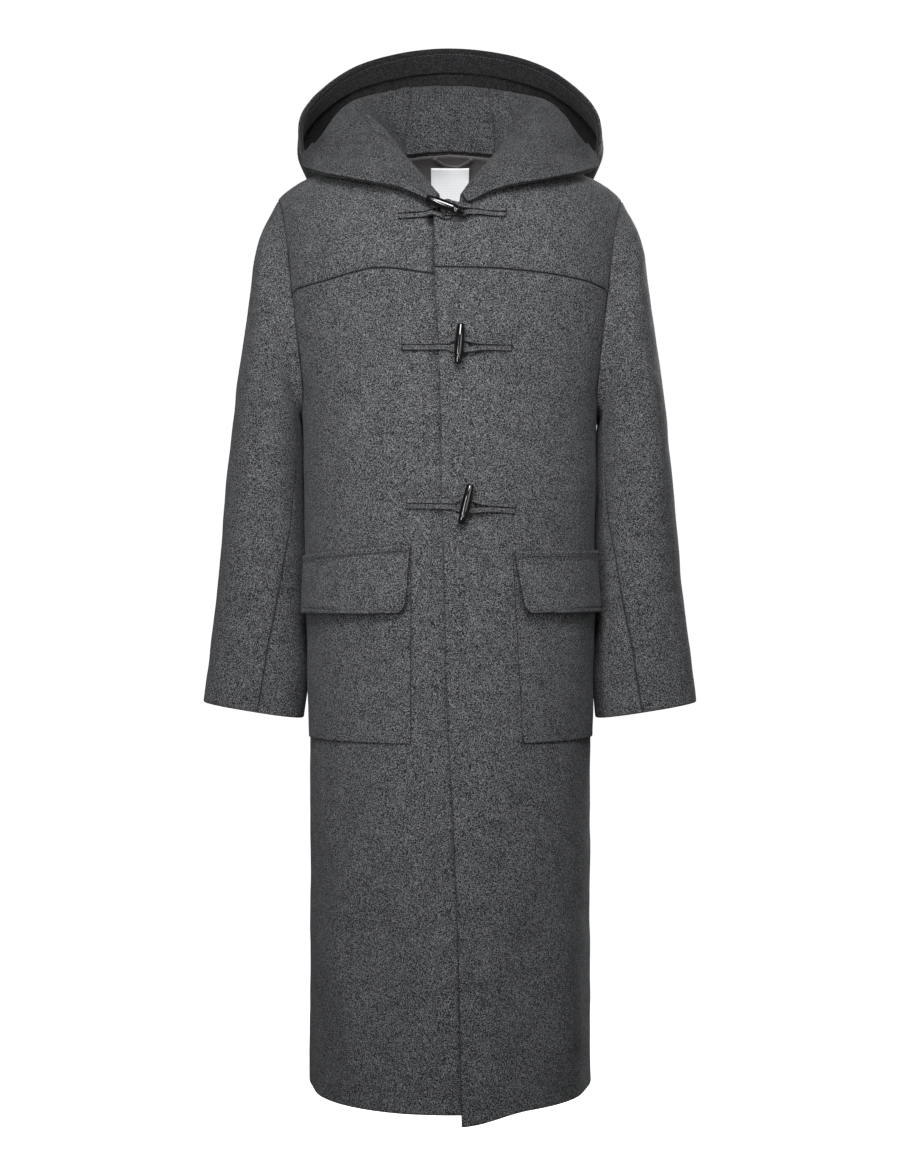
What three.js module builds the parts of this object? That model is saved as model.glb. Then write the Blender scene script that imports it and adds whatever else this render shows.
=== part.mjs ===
// A long hooded duffle coat, filled out as if worn, with nobody in it.
// Millimetres, +Z up, -Y is the front and +X is the wearer's left.
// The origin lies between the neck sides of the shoulder seams.
import * as THREE from 'three';

const DEGREE = Math.PI / 180;

// Cloth thicknesses and the gap between two sewn pieces.
const CLOTH = 2.6;
const SINGLE = 2;
const SATIN = 1;
const LABEL = 0.8;
const SEAM = 0.3;
const LAID = 0.8;

// Driving dimensions of the body.
const HEM_Z = -1098;
const ARMPIT_Z = -318;
const CHEST_Z = -175;
const SHOULDER_HALF = 203;
const CHEST_HALF = 196;
const CHEST_FRONT = 130;
const CHEST_BACK = 118;
const NECK_ANGLE = 17.6;
const ARMPIT_LEVEL = levelOf(ARMPIT_Z);

// How far the overlapping fronts part, and how far the left one hangs lower.
const OVERLAP_LIFT = 2;
const OVERLAP_FADE = 50;
const UNDERLAP_X = -42;
const LEFT_LIFT_END = 46;
const RIGHT_LIFT_END = 20;
const CORNER_DROP = 12;
const CORNER_FADE = 75;
const CORNER_TOP_LEVEL = 0.3;

// Pockets, flaps and what stands on the fronts.
const POCKET_TOP = -484;
const POCKET_BOTTOM = -690;
const POCKET_COLUMNS = 11;
const FLAP_CORNER = 11;
const FLAP_STAND = 4.5;
const FLAP_GAP = 0.5;

// Lining, label and hanging loop, in rows and columns of the back panel.
const LINING_ROWS = 7;
const LABEL_HALF = 0.62;
const LABEL_BOTTOM_ROW = 23.1;
const LABEL_TOP_ROW = 25.1;
const HANGER_ROW = 25.75;
const HANGER_SAG_ROWS = 0.55;
const HANGER_FROM = -0.4;
const HANGER_TO = 0.62;
const HANGER_WIDTH = 3.2;
const HANGER_THICK = 2;

// Closures.
const STRAND_WIDTH = 6;
const STRAND_THICK = 2.8;
const TOGGLE_LENGTH = 45;
const TOGGLE_RADIUS = 5.4;

// Hood, facing, neck.
const FACING_WIDTH = 30;
const SLEEVE_GAP = 1.3;
const ARMPIT_GAP = 5.5;
const HOOD_GAP = 2;

// The facing stands further off where the falling lobe turns into the hood's pouch.
const FACING_EASE = { place: 0.4, spread: 0.09, extra: 4 };
const THROAT_GAP = 5;
const OVERLAP_DIP = 0.05;

const COLOURS = {
  wool: new THREE.MeshStandardMaterial({ color: 0x5c5d5f, roughness: 0.95, metalness: 0 }),
  lining: new THREE.MeshStandardMaterial({ color: 0x575455, roughness: 0.5, metalness: 0 }),
  label: new THREE.MeshStandardMaterial({ color: 0xf2f3f3, roughness: 0.7, metalness: 0 }),
  horn: new THREE.MeshStandardMaterial({ color: 0x141414, roughness: 0.2, metalness: 0 }),
};

// Rings of the body from the hem to the chest. square is the ring's superellipse exponent.
const BODY = [
  { z: HEM_Z, half: 165, front: 162, back: 150, square: 2.05 },
  { z: -900, half: 163.5, front: 157, back: 144, square: 2.1 },
  { z: -700, half: 163.5, front: 150, back: 137, square: 2.2 },
  { z: -600, half: 165, front: 146, back: 133, square: 2.25 },
  { z: -540, half: 169, front: 144, back: 130, square: 2.3 },
  { z: -480, half: 174.5, front: 142, back: 127, square: 2.35 },
  { z: -400, half: 178, front: 140, back: 124, square: 2.4 },
  { z: ARMPIT_Z, half: 179, front: 137, back: 121, square: 2.4 },
  { z: -250, half: 187, front: 134, back: 119, square: 2.4 },
  { z: CHEST_Z, half: CHEST_HALF, front: CHEST_FRONT, back: CHEST_BACK, square: 2.4 },
];

// How the chest rounds over into the shoulder seam: shares of the rise and of the depth.
const SHOULDER = [
  { t: 0, rise: 0, front: 1, back: 1 },
  { t: 1 / 6, rise: 0.25, front: 0.965, back: 0.985 },
  { t: 2 / 6, rise: 0.5, front: 0.86, back: 0.93 },
  { t: 3 / 6, rise: 0.7, front: 0.71, back: 0.83 },
  { t: 4 / 6, rise: 0.86, front: 0.5, back: 0.66 },
  { t: 5 / 6, rise: 0.96, front: 0.27, back: 0.4 },
  { t: 1, rise: 1, front: 0, back: 0 },
];

// Height of the shoulder seam over the distance from the middle.
const RIDGE = [
  { x: 0, z: 22 },
  { x: 40, z: 15 },
  { x: 78, z: -1 },
  { x: 120, z: -17 },
  { x: 166, z: -35.5 },
  { x: 182, z: -44 },
  { x: 195, z: -53 },
  { x: SHOULDER_HALF, z: -61 },
];

// Armhole seams, as the ring angle of the front and of the back at each level.
const ARMHOLE = [
  { level: ARMPIT_LEVEL, front: 90, back: 90 },
  { level: levelOf(-307), front: 79, back: 80 },
  { level: levelOf(-290), front: 72, back: 74 },
  { level: levelOf(-240), front: 68, back: 70 },
  { level: 1, front: 65.5, back: 68 },
  { level: 1.5, front: 72, back: 73 },
  { level: 1.8, front: 79, back: 79.5 },
  { level: 2, front: 86, back: 86 },
];

// The neckline, from the middle of the front (0) to the middle of the back (180).
const NECKLINE = [
  { round: 0, angle: 0, level: 1.29 },
  { round: 30, angle: 6.5, level: 1.36 },
  { round: 60, angle: 13.5, level: 1.58 },
  { round: 80, angle: 17, level: 1.84 },
  { round: 90, angle: NECK_ANGLE, level: 2 },
  { round: 105, angle: 16.5, level: 1.95 },
  { round: 140, angle: 10.5, level: 1.83 },
  { round: 180, angle: 0, level: 1.79 },
];

// Seam between each front and its yoke, across from the front edge (0) to the armhole (1).
const YOKE_LEFT = [
  { across: 0, level: 1.055 },
  { across: 0.4, level: 1.05 },
  { across: 0.7, level: 1.03 },
  { across: 1, level: 0.995 },
];
const YOKE_RIGHT = [
  { across: 0, level: 1.02 },
  { across: 0.4, level: 1.045 },
  { across: 0.7, level: 1.03 },
  { across: 1, level: 0.995 },
];

// Where the left front's edge crosses the middle.
const FRONT_EDGE = [
  { z: HEM_Z, x: 12.5 },
  { z: -912, x: 8.2 },
  { z: -770, x: 2.8 },
  { z: -670, x: -2.8 },
  { z: -540, x: -6.1 },
  { z: -412, x: -9.4 },
  { z: -246, x: -13.3 },
  { z: -158, x: -18 },
  { z: -60, x: -17.5 },
];

// Soft lengthwise folds: ring angle, its spread, how deep, and the height where they start.
const BODY_FOLDS = [
  { side: 1, angle: 118, spread: 13, depth: 5, top: -420 },
  { side: 1, angle: 147, spread: 12, depth: -5, top: -330 },
  { side: -1, angle: 112, spread: 12, depth: 5, top: -470 },
  { side: -1, angle: 141, spread: 13, depth: -6, top: -300 },
  { side: 1, angle: 176, spread: 14, depth: 5, top: -520 },
  { side: -1, angle: 78, spread: 10, depth: -3, top: -720 },
  { side: 1, angle: 74, spread: 11, depth: -3, top: -760 },
];

// Sections of a sleeve below its armhole seam.
const SLEEVE = [
  { outerX: 222, outerZ: -103, innerX: 188, innerZ: -326, front: -64, back: 66 },
  { outerX: 234, outerZ: -174, innerX: 189, innerZ: -336, front: -69, back: 74 },
  { outerX: 243, outerZ: -235, innerX: 188, innerZ: -347, front: -70, back: 80 },
  { outerX: 251, outerZ: -295, innerX: 187, innerZ: -371, front: -68, back: 82 },
  { outerX: 264, outerZ: -413, innerX: 185, innerZ: -444, front: -60, back: 82 },
  { outerX: 275.5, outerZ: -531, innerX: 177, innerZ: -549, front: -49, back: 74 },
  { outerX: 284, outerZ: -600, innerX: 173, innerZ: -618, front: -43, back: 66 },
  { outerX: 290.5, outerZ: -651, innerX: 174, innerZ: -670, front: -40, back: 60 },
];
const SLEEVE_SQUARE = 0.86;

// Sleeve seams: the section angle of the front and of the back seam down the sleeve.
const SLEEVE_SEAMS = [
  { down: 0, front: 158, back: 232 },
  { down: 0.45, front: 148, back: 240 },
  { down: 0.62, front: 139, back: 246 },
  { down: 0.8, front: 112, back: 250 },
  { down: 1, front: 91, back: 252 },
];

// The hood lies open. Each curve runs from the throat to the middle of the back.
const HOOD_ROUND = [7, 30, 58, 80, 103, 127, 152, 180];
const HOOD_CURVES = {
  roll: [[12, -115, -76], [29, -100, -53], [57, -68, -15], [76, -30, 17],
    [106, 8, 54], [93, 42, 73], [54, 64, 86], [0, 74, 93]],
  fall: [[14, -117.5, -77.5], [39, -107, -57], [79, -81, -19], [106, -41, 11],
    [137, 8, 38], [124, 62, 52], [70, 98, 40], [0, 112, 30]],
  pouch: [[16.5, -119.5, -80], [48, -112, -61], [97, -89, -33], [131, -46, -14],
    [157, 8, 9], [141, 104, -60], [84, 142, -96], [0, 157, -106]],
  wall: [[18.5, -120.5, -82.5], [54, -114.5, -64.5], [108, -92, -44], [146, -50, -30],
    [168, 2, -5], [179, 84, 0], [122, 158, 5], [0, 186, 14]],
  rim: [[20.7, -121.5, -85.5], [59, -115, -68], [115, -92, -53], [154, -52, -38],
    [174, -4, -14], [174, 38, 56], [110, 92, 124], [0, 126, 153]],
};

// Seams of the hood's middle panel: place round the hood over the share from neck to rim.
const HOOD_SEAM = [
  { share: 0, round: 0.24 },
  { share: 0.16, round: 0.13 },
  { share: 0.6, round: 0.105 },
  { share: 0.9, round: 0.085 },
  { share: 1, round: 0.085 },
];

const POCKETS = [
  { name: 'right', side: -1, topX: 43, bottomX: 43, outer: 80 },
  { name: 'left', side: 1, topX: 72, bottomX: 84, outer: 84 },
];
const FLAPS = [
  {
    name: 'right', side: -1, topX: 43, bottomX: 49, outer: 83, innerTop: -468, outerTop: -479, bottom: -546,
  },
  {
    name: 'left', side: 1, topX: 72.5, bottomX: 86, outer: 84, innerTop: -475, outerTop: -473, bottom: -545,
  },
];

// Each closure: the middle of its toggle, the lean of the toggle off upright, and its strips.
const CLOSURES = [
  { x: -5.5, z: -92, lean: -64, lift: 2.4, loopX: -58, loopZ: -98, tabX: 62, tabZ: -97 },
  { x: 10, z: -247, lean: 5, lift: 0, loopX: -54, loopZ: -246, tabX: 68, tabZ: -247 },
  { x: 16.5, z: -425, lean: 14, lift: 0, loopX: -48.5, loopZ: -423, tabX: 71.5, tabZ: -428.5 },
];

function levelOf(z) {
  return (z - HEM_Z) / (CHEST_Z - HEM_Z);
}

function mix(a, b, t) {
  return a + (b - a) * t;
}

function clamp(value, low, high) {
  return Math.min(high, Math.max(low, value));
}

function smooth(t) {
  const s = clamp(t, 0, 1);
  return s * s * (3 - 2 * s);
}

function signedPower(value, power) {
  return Math.sign(value) * Math.abs(value) ** power;
}

// Reads one column of a table as a smooth curve over another column.
function look(rows, along, name, at) {
  const last = rows.length - 1;
  const slope = (i) => {
    const a = rows[Math.max(i - 1, 0)];
    const b = rows[Math.min(i + 1, last)];
    return (b[name] - a[name]) / (b[along] - a[along]);
  };
  if (at <= rows[0][along]) return rows[0][name] + slope(0) * (at - rows[0][along]);
  if (at >= rows[last][along]) return rows[last][name] + slope(last) * (at - rows[last][along]);
  let i = 0;
  while (rows[i + 1][along] < at) i += 1;
  const span = rows[i + 1][along] - rows[i][along];
  const t = (at - rows[i][along]) / span;
  const t2 = t * t;
  const t3 = t2 * t;
  return (2 * t3 - 3 * t2 + 1) * rows[i][name] + (t3 - 2 * t2 + t) * span * slope(i)
    + (3 * t2 - 2 * t3) * rows[i + 1][name] + (t3 - t2) * span * slope(i + 1);
}

// The body's middle surface. The angle runs from the front (0) over the side (90) to the
// back (180); the level runs from the hem (0) over the chest (1) to the shoulder seam (2).
function body(side, angle, level) {
  const back = Math.abs(angle) > 90;
  const sine = Math.sin(angle * DEGREE);
  const cosine = Math.cos(angle * DEGREE);
  if (level <= 1) {
    const z = mix(HEM_Z, CHEST_Z, level);
    const power = 2 / look(BODY, 'z', 'square', z);
    const half = look(BODY, 'z', 'half', z);
    const depth = look(BODY, 'z', back ? 'back' : 'front', z);
    const swell = 1 + foldAt(side, angle, z) / half;
    return new THREE.Vector3(
      side * half * signedPower(sine, power) * swell, -depth * signedPower(cosine, power) * swell, z);
  }
  const t = Math.min(level - 1, 1);
  const power = 2 / BODY[BODY.length - 1].square;
  const rise = look(SHOULDER, 't', 'rise', t);
  const depth = (back ? CHEST_BACK : CHEST_FRONT) * look(SHOULDER, 't', back ? 'back' : 'front', t);
  const half = mix(CHEST_HALF, SHOULDER_HALF, rise);
  const ridge = look(RIDGE, 'x', 'z', Math.abs(SHOULDER_HALF * signedPower(sine, power)));
  return new THREE.Vector3(
    side * half * signedPower(sine, power), -depth * signedPower(cosine, power), mix(CHEST_Z, ridge, rise));
}

function foldAt(side, angle, z) {
  let out = 0;
  for (const fold of BODY_FOLDS) {
    const off = (angle * side - fold.angle * fold.side) / fold.spread;
    const down = smooth((fold.top - z) / (fold.top - HEM_Z));
    out += fold.depth * down * Math.exp(-off * off);
  }
  return out;
}

// Any surface's unit normal at (u, v), turned to its outer side by the sign.
function normalOf(surface, u, v, stepU, stepV, sign) {
  const alongU = surface(u + stepU, v).sub(surface(u - stepU, v));
  const alongV = surface(u, v + stepV).sub(surface(u, v - stepV));
  return alongU.cross(alongV).normalize().multiplyScalar(sign);
}

// A point of the body, moved out of it by the lift.
function onBody(side, angle, level, lift) {
  const held = clamp(level, 0.004, 1.97);
  const surface = (a, l) => body(side, a, l);
  let out = normalOf(surface, angle, held, 0.4, 0.003, side);
  if (level > 1.97) {
    const ridge = surface(angle + 0.4, 2).sub(surface(angle - 0.4, 2)).normalize();
    out = ridge.cross(new THREE.Vector3(0, 1, 0)).normalize();
    if (out.z < 0) out.negate();
  }
  return { point: surface(angle, level).addScaledVector(out, lift), out };
}

// The ring angle at which a body of this level has the given distance from the middle.
function angleAt(x, level) {
  const z = mix(HEM_Z, CHEST_Z, Math.min(level, 1));
  const half = level <= 1 ? look(BODY, 'z', 'half', z)
    : mix(CHEST_HALF, SHOULDER_HALF, look(SHOULDER, 't', 'rise', level - 1));
  const square = look(BODY, 'z', 'square', z);
  return Math.asin(signedPower(x / half, square / 2)) / DEGREE;
}

function armholeAngle(level, part) {
  return level <= ARMPIT_LEVEL ? 90 : look(ARMHOLE, 'level', part, Math.min(level, 2));
}

function necklineLevel(angle, back) {
  const rows = NECKLINE.filter((row) => (back ? row.round >= 90 : row.round <= 90));
  const sorted = rows.sort((a, b) => a.angle - b.angle);
  return clamp(look(sorted, 'angle', 'level', Math.abs(angle)), 1, 2);
}

// Turns a grid of {point, out} samples into a closed wall, drawn back from its seams.
// Each square is split along the shorter diagonal of the cloth that it follows.
function wall(grid, thickness, follows = grid, drawn = SEAM / 2) {
  const rows = grid.length;
  const columns = grid[0].length;
  const points = grid.map((row) => row.map((sample) => sample.point.clone()));
  const pull = (r, c, r2, c2) => {
    const inward = grid[r2][c2].point.clone().sub(grid[r][c].point);
    points[r][c].addScaledVector(inward.normalize(), drawn);
  };
  for (let c = 0; c < columns; c += 1) {
    pull(0, c, 1, c);
    pull(rows - 1, c, rows - 2, c);
  }
  for (let r = 0; r < rows; r += 1) {
    pull(r, 0, r, 1);
    pull(r, columns - 1, r, columns - 2);
  }
  const positions = [];
  for (const half of [thickness / 2, -thickness / 2]) {
    for (let r = 0; r < rows; r += 1) {
      for (let c = 0; c < columns; c += 1) {
        const p = points[r][c].clone().addScaledVector(grid[r][c].out, half);
        positions.push(p.x, p.y, p.z);
      }
    }
  }
  const at = (layer, r, c) => layer * rows * columns + r * columns + c;
  const faces = [];
  const quad = (a, b, c, d) => faces.push(a, b, c, a, c, d);
  for (let r = 0; r < rows - 1; r += 1) {
    for (let c = 0; c < columns - 1; c += 1) {
      const rising = follows[r][c].point.distanceTo(follows[r + 1][c + 1].point);
      const falling = follows[r][c + 1].point.distanceTo(follows[r + 1][c].point);
      for (const layer of [0, 1]) {
        const [a, b] = [at(layer, r, c), at(layer, r, c + 1)];
        const [d, e] = [at(layer, r + 1, c), at(layer, r + 1, c + 1)];
        const pair = rising <= falling ? [a, b, e, a, e, d] : [a, b, d, b, e, d];
        faces.push(...(layer === 0 ? pair : pair.reverse()));
      }
    }
  }
  for (let c = 0; c < columns - 1; c += 1) {
    quad(at(0, 0, c), at(1, 0, c), at(1, 0, c + 1), at(0, 0, c + 1));
    quad(at(0, rows - 1, c), at(0, rows - 1, c + 1), at(1, rows - 1, c + 1), at(1, rows - 1, c));
  }
  for (let r = 0; r < rows - 1; r += 1) {
    quad(at(0, r, 0), at(0, r + 1, 0), at(1, r + 1, 0), at(1, r, 0));
    quad(at(0, r, columns - 1), at(1, r, columns - 1), at(1, r + 1, columns - 1), at(0, r + 1, columns - 1));
  }
  return closedGeometry(positions, faces);
}

// Builds the geometry and turns its faces so that they point out.
function closedGeometry(positions, faces) {
  let volume = 0;
  const corner = (i) => new THREE.Vector3().fromArray(positions, i * 3);
  for (let i = 0; i < faces.length; i += 3) {
    volume += corner(faces[i]).dot(corner(faces[i + 1]).cross(corner(faces[i + 2])));
  }
  const index = volume > 0 ? faces : faces.slice().reverse();
  const geometry = new THREE.BufferGeometry();
  geometry.setAttribute('position', new THREE.Float32BufferAttribute(positions, 3));
  geometry.setIndex(index);
  geometry.computeVertexNormals();
  return geometry;
}

function gridOf(rows, columns, sample) {
  const grid = [];
  for (let r = 0; r <= rows; r += 1) {
    const line = [];
    for (let c = 0; c <= columns; c += 1) line.push(sample(c / columns, r / rows));
    grid.push(line);
  }
  return grid;
}

// A place on a panel's grid, by fractions of its rows and columns, moved out by the lift.
function between(grid, row, column, lift) {
  const r = clamp(Math.floor(row), 0, grid.length - 2);
  const c = clamp(Math.floor(column), 0, grid[0].length - 2);
  const blend = (key) => {
    const low = grid[r][c][key].clone().lerp(grid[r][c + 1][key], column - c);
    const high = grid[r + 1][c][key].clone().lerp(grid[r + 1][c + 1][key], column - c);
    return low.lerp(high, row - r);
  };
  const out = blend('out').normalize();
  return { point: blend('point').addScaledVector(out, lift), out };
}

// A closed tube of flat oval section along samples of {point, out}.
function strand(path, width, thickness, sides = 6) {
  const positions = [];
  path.forEach((sample, i) => {
    const before = path[Math.max(i - 1, 0)].point;
    const after = path[Math.min(i + 1, path.length - 1)].point;
    const along = after.clone().sub(before).normalize();
    const across = along.clone().cross(sample.out).normalize();
    const up = across.clone().cross(along).normalize();
    for (let k = 0; k < sides; k += 1) {
      const turn = ((k + 0.5) / sides) * 2 * Math.PI;
      const p = sample.point.clone()
        .addScaledVector(across, (Math.cos(turn) * width) / 2 / Math.cos(Math.PI / sides))
        .addScaledVector(up, (Math.sin(turn) * thickness) / 2);
      positions.push(p.x, p.y, p.z);
    }
  });
  return tube(positions, path.length, sides);
}

// Skins rings of equal size and closes both ends.
function tube(positions, rings, sides) {
  const faces = [];
  for (let i = 0; i < rings - 1; i += 1) {
    for (let k = 0; k < sides; k += 1) {
      const a = i * sides + k;
      const b = i * sides + ((k + 1) % sides);
      faces.push(a, b, b + sides, a, b + sides, a + sides);
    }
  }
  const end = (rings - 1) * sides;
  for (let k = 1; k < sides - 1; k += 1) {
    faces.push(0, k + 1, k);
    faces.push(end, end + k, end + k + 1);
  }
  return closedGeometry(positions, faces);
}

const coat = new THREE.Group();

function add(name, geometry, material) {
  const mesh = new THREE.Mesh(geometry, material);
  mesh.name = name;
  coat.add(mesh);
}

// How far a front stands off the body where the two fronts lie on each other.
function overlapLift(side, x) {
  const start = side > 0 ? LEFT_LIFT_END : RIGHT_LIFT_END;
  const near = 1 - smooth((x * side - start) / OVERLAP_FADE);
  return side * OVERLAP_LIFT * near;
}

function frontEdgeX(side, level) {
  const z = level <= 1 ? mix(HEM_Z, CHEST_Z, level) : mix(CHEST_Z, -60, level - 1);
  return side > 0 ? look(FRONT_EDGE, 'z', 'x', z) : UNDERLAP_X;
}

// A sample of a front or its yoke, with the overlap's lift and a further lift.
function onFront(side, angle, level, lift = 0) {
  const x = body(side, angle, level).x;
  const sample = onBody(side, angle, level, overlapLift(side, x) + lift);
  if (side > 0 && level < CORNER_TOP_LEVEL) {
    const near = 1 - smooth((x - frontEdgeX(1, level)) / CORNER_FADE);
    sample.point.z -= CORNER_DROP * near * (1 - smooth(level / CORNER_TOP_LEVEL));
  }
  return sample;
}

// Across a front: from its edge over the neck side to the armhole.
function frontAngle(side, across, level, corner) {
  const edge = angleAt(frontEdgeX(side, level), level);
  const outer = armholeAngle(level, 'front');
  const neck = mix(NECK_ANGLE + 3, NECK_ANGLE, clamp(level - 1, 0, 1));
  return across <= corner ? mix(edge, neck, across / corner)
    : mix(neck, outer, (across - corner) / (1 - corner));
}

const FRONT_COLUMNS = 13;
const FRONT_CORNER = 4 / FRONT_COLUMNS;
const FRONT_ROWS = 22;
const ARMPIT_ROW = 15 / FRONT_ROWS;

const frontGrids = new Map();

// A place on a front below the armhole, taken from the panel's own points.
function laidOnFront(side, angle, level, lift) {
  const edge = angleAt(frontEdgeX(side, level), level);
  const neck = NECK_ANGLE + 3;
  const across = angle <= neck ? (FRONT_CORNER * (angle - edge)) / (neck - edge)
    : mix(FRONT_CORNER, 1, (angle - neck) / (90 - neck));
  const row = (level / ARMPIT_LEVEL) * ARMPIT_ROW * FRONT_ROWS;
  return between(frontGrids.get(side), row, across * FRONT_COLUMNS, lift);
}

function buildFront(name, side, yoke) {
  const sample = (across, up) => {
    const seam = look(yoke, 'across', 'level', across);
    const level = up <= ARMPIT_ROW ? (ARMPIT_LEVEL * up) / ARMPIT_ROW
      : mix(ARMPIT_LEVEL, seam, (up - ARMPIT_ROW) / (1 - ARMPIT_ROW));
    return onFront(side, frontAngle(side, across, level, FRONT_CORNER), level);
  };
  frontGrids.set(side, gridOf(FRONT_ROWS, FRONT_COLUMNS, sample));
  add(`front_${name}`, wall(frontGrids.get(side), CLOTH), COLOURS.wool);
}

function buildYoke(name, side, yoke) {
  const rows = 8;
  const sample = (across, up) => {
    const seam = look(yoke, 'across', 'level', across);
    const topAngle = frontAngle(side, across, 2, FRONT_CORNER);
    const dip = topAngle < 0 ? OVERLAP_DIP * Math.min(1, -topAngle / 2) : 0;
    const top = across < FRONT_CORNER - 1e-6 ? necklineLevel(topAngle, false) - dip : 2;
    const level = mix(seam, top, up);
    return onFront(side, frontAngle(side, across, level, FRONT_CORNER), level);
  };
  add(`yoke_${name}`, wall(gridOf(rows, FRONT_COLUMNS, sample), CLOTH), COLOURS.wool);
}

const BACK_ROWS = 26;
const BACK_COLUMNS = 20;
let backGrid = [];

function buildBack() {
  const armpitRow = 16 / BACK_ROWS;
  const corner = 0.2;
  const backAngle = (across, level) => {
    const outer = armholeAngle(level, 'back');
    const neck = mix(NECK_ANGLE + 4, NECK_ANGLE, clamp(level - 1, 0, 1));
    return across <= corner ? mix(0, neck, across / corner)
      : mix(neck, outer, (across - corner) / (1 - corner));
  };
  const sample = (f, up) => {
    const across = Math.abs(f * 2 - 1);
    const side = f < 0.5 ? -1 : 1;
    const top = across < corner - 1e-6 ? necklineLevel(backAngle(across, 2), true) : 2;
    const level = up <= armpitRow ? (ARMPIT_LEVEL * up) / armpitRow
      : mix(ARMPIT_LEVEL, top, (up - armpitRow) / (1 - armpitRow));
    return onBody(side, 180 - backAngle(across, level), level, 0);
  };
  backGrid = gridOf(BACK_ROWS, BACK_COLUMNS, sample);
  add('back', wall(backGrid, CLOTH), COLOURS.wool);
}

const ARMHOLE_STEPS = 60;
const armholes = new Map();

// One half of the armhole seam as a curve from the shoulder to the armpit.
function armholeCurve(side, part) {
  const key = `${part}${side}`;
  if (!armholes.has(key)) {
    const points = [];
    for (let i = 0; i <= ARMHOLE_STEPS; i += 1) {
      const level = mix(2, ARMPIT_LEVEL, i / ARMHOLE_STEPS);
      const angle = armholeAngle(level, part);
      points.push(body(side, part === 'front' ? angle : 180 - angle, level));
    }
    armholes.set(key, new THREE.CatmullRomCurve3(points, false, 'centripetal'));
  }
  return armholes.get(key);
}

// The armhole seam as a closed loop: 0 at the shoulder, 90 in front, 180 under the arm.
function armholePoint(side, turn) {
  return turn <= 180 ? armholeCurve(side, 'front').getPointAt(turn / 180)
    : armholeCurve(side, 'back').getPointAt((360 - turn) / 180);
}

function sleeveRing(side, row, turn) {
  const cosine = signedPower(Math.cos(turn * DEGREE), SLEEVE_SQUARE);
  const sine = signedPower(Math.sin(turn * DEGREE), SLEEVE_SQUARE);
  return new THREE.Vector3(
    side * ((row.outerX + row.innerX) / 2 + ((row.outerX - row.innerX) / 2) * cosine),
    (row.front + row.back) / 2 - ((row.back - row.front) / 2) * sine,
    (row.outerZ + row.innerZ) / 2 + ((row.outerZ - row.innerZ) / 2) * cosine);
}

// A sleeve's middle surface, down from the armhole (0) to the cuff (1).
function sleeve(side, turn, down) {
  const start = armholePoint(side, turn);
  const next = sleeveRing(side, SLEEVE[0], turn);
  const away = next.clone().sub(start);
  const under = smooth(((1 - Math.cos(turn * DEGREE)) / 2) ** 1.5);
  start.addScaledVector(away.normalize(), mix(SLEEVE_GAP, ARMPIT_GAP, under));
  const rings = [start, next, ...SLEEVE.slice(1).map((row) => sleeveRing(side, row, turn))];
  const curve = new THREE.CatmullRomCurve3(rings, false, 'centripetal');
  return curve.getPoint(clamp(down, 0, 1));
}

function buildSleeve(name, side) {
  const surface = (turn, down) => sleeve(side, turn < 0 ? turn + 360 : turn % 360, down);
  const rows = 15;
  const panel = (first, last, columns) => gridOf(rows, columns, (across, down) => {
    const turn = mix(first(down), last(down), across);
    const held = clamp(down, 0.01, 0.99);
    return { point: surface(turn, down), out: normalOf(surface, turn, held, 2, 0.008, side) };
  });
  const front = (down) => look(SLEEVE_SEAMS, 'down', 'front', down);
  const back = (down) => look(SLEEVE_SEAMS, 'down', 'back', down);
  const upper = panel((down) => back(down) - 360, front, 14);
  const under = panel(front, back, 6);
  add(`sleeve_${name}_upper`, wall(upper, CLOTH), COLOURS.wool);
  add(`sleeve_${name}_under`, wall(under, CLOTH), COLOURS.wool);
}

// A point of the neckline's seam, from the middle of the front (0) to that of the back (180).
function neckPoint(side, round) {
  const angle = look(NECKLINE, 'round', 'angle', round);
  const level = look(NECKLINE, 'round', 'level', round);
  return round <= 90 ? body(side, angle, Math.min(level, 2)) : body(side, 180 - angle, Math.min(level, 2));
}

// The hood's profile at a place from the throat (1 or -1) to the middle of the back (0).
function hoodProfile(place) {
  const side = place < 0 ? -1 : 1;
  const last = HOOD_ROUND.length - 1;
  const station = (1 - Math.min(Math.abs(place), 1)) * last;
  const curveAt = (points) => new THREE.CatmullRomCurve3(
    points.map((p) => new THREE.Vector3(p[0], p[1], p[2])).concat(
      points.slice(0, -1).reverse().map((p) => new THREE.Vector3(-p[0], p[1], p[2]))),
    false, 'catmullrom', 0.5).getPoint(station / (2 * last));
  const rounds = HOOD_ROUND.map((round, i) => ({ i, round }));
  const neck = neckPoint(1, clamp(look(rounds, 'i', 'round', station), 0, 180));
  const curves = Object.values(HOOD_CURVES).map(curveAt);
  const up = curves[0].clone().sub(neck).normalize();
  const gap = mix(HOOD_GAP, THROAT_GAP, smooth((Math.abs(place) - 0.75) / 0.25));
  const points = [neck.clone().addScaledVector(up, gap), ...curves];
  points.forEach((p) => { p.x *= side; });
  return new THREE.CatmullRomCurve3(points, false, 'centripetal');
}

const profiles = new Map();

function hood(place, share) {
  const key = place.toFixed(6);
  if (!profiles.has(key)) profiles.set(key, hoodProfile(place));
  return profiles.get(key).getPoint(clamp(share, 0, 1));
}

function hoodSample(place, share, lift) {
  const round = clamp(place, -0.975, 0.975);
  const out = normalOf(hood, round, clamp(share, 0.03, 0.97), 0.02, 0.025, 1);
  return { point: hood(place, share).addScaledVector(out, lift), out };
}

const BAND_ROWS = 3;
const HOOD_ROWS = 15;
const HOOD_SIDE_COLUMNS = 15;
const HOOD_CENTRE_COLUMNS = 4;

// The share of the profile that the facing covers.
function facingShare(place) {
  const profile = hoodProfile(place);
  return 1 - profile.getUtoTmapping(1 - Math.min(FACING_WIDTH / profile.getLength(), 0.45));
}

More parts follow.
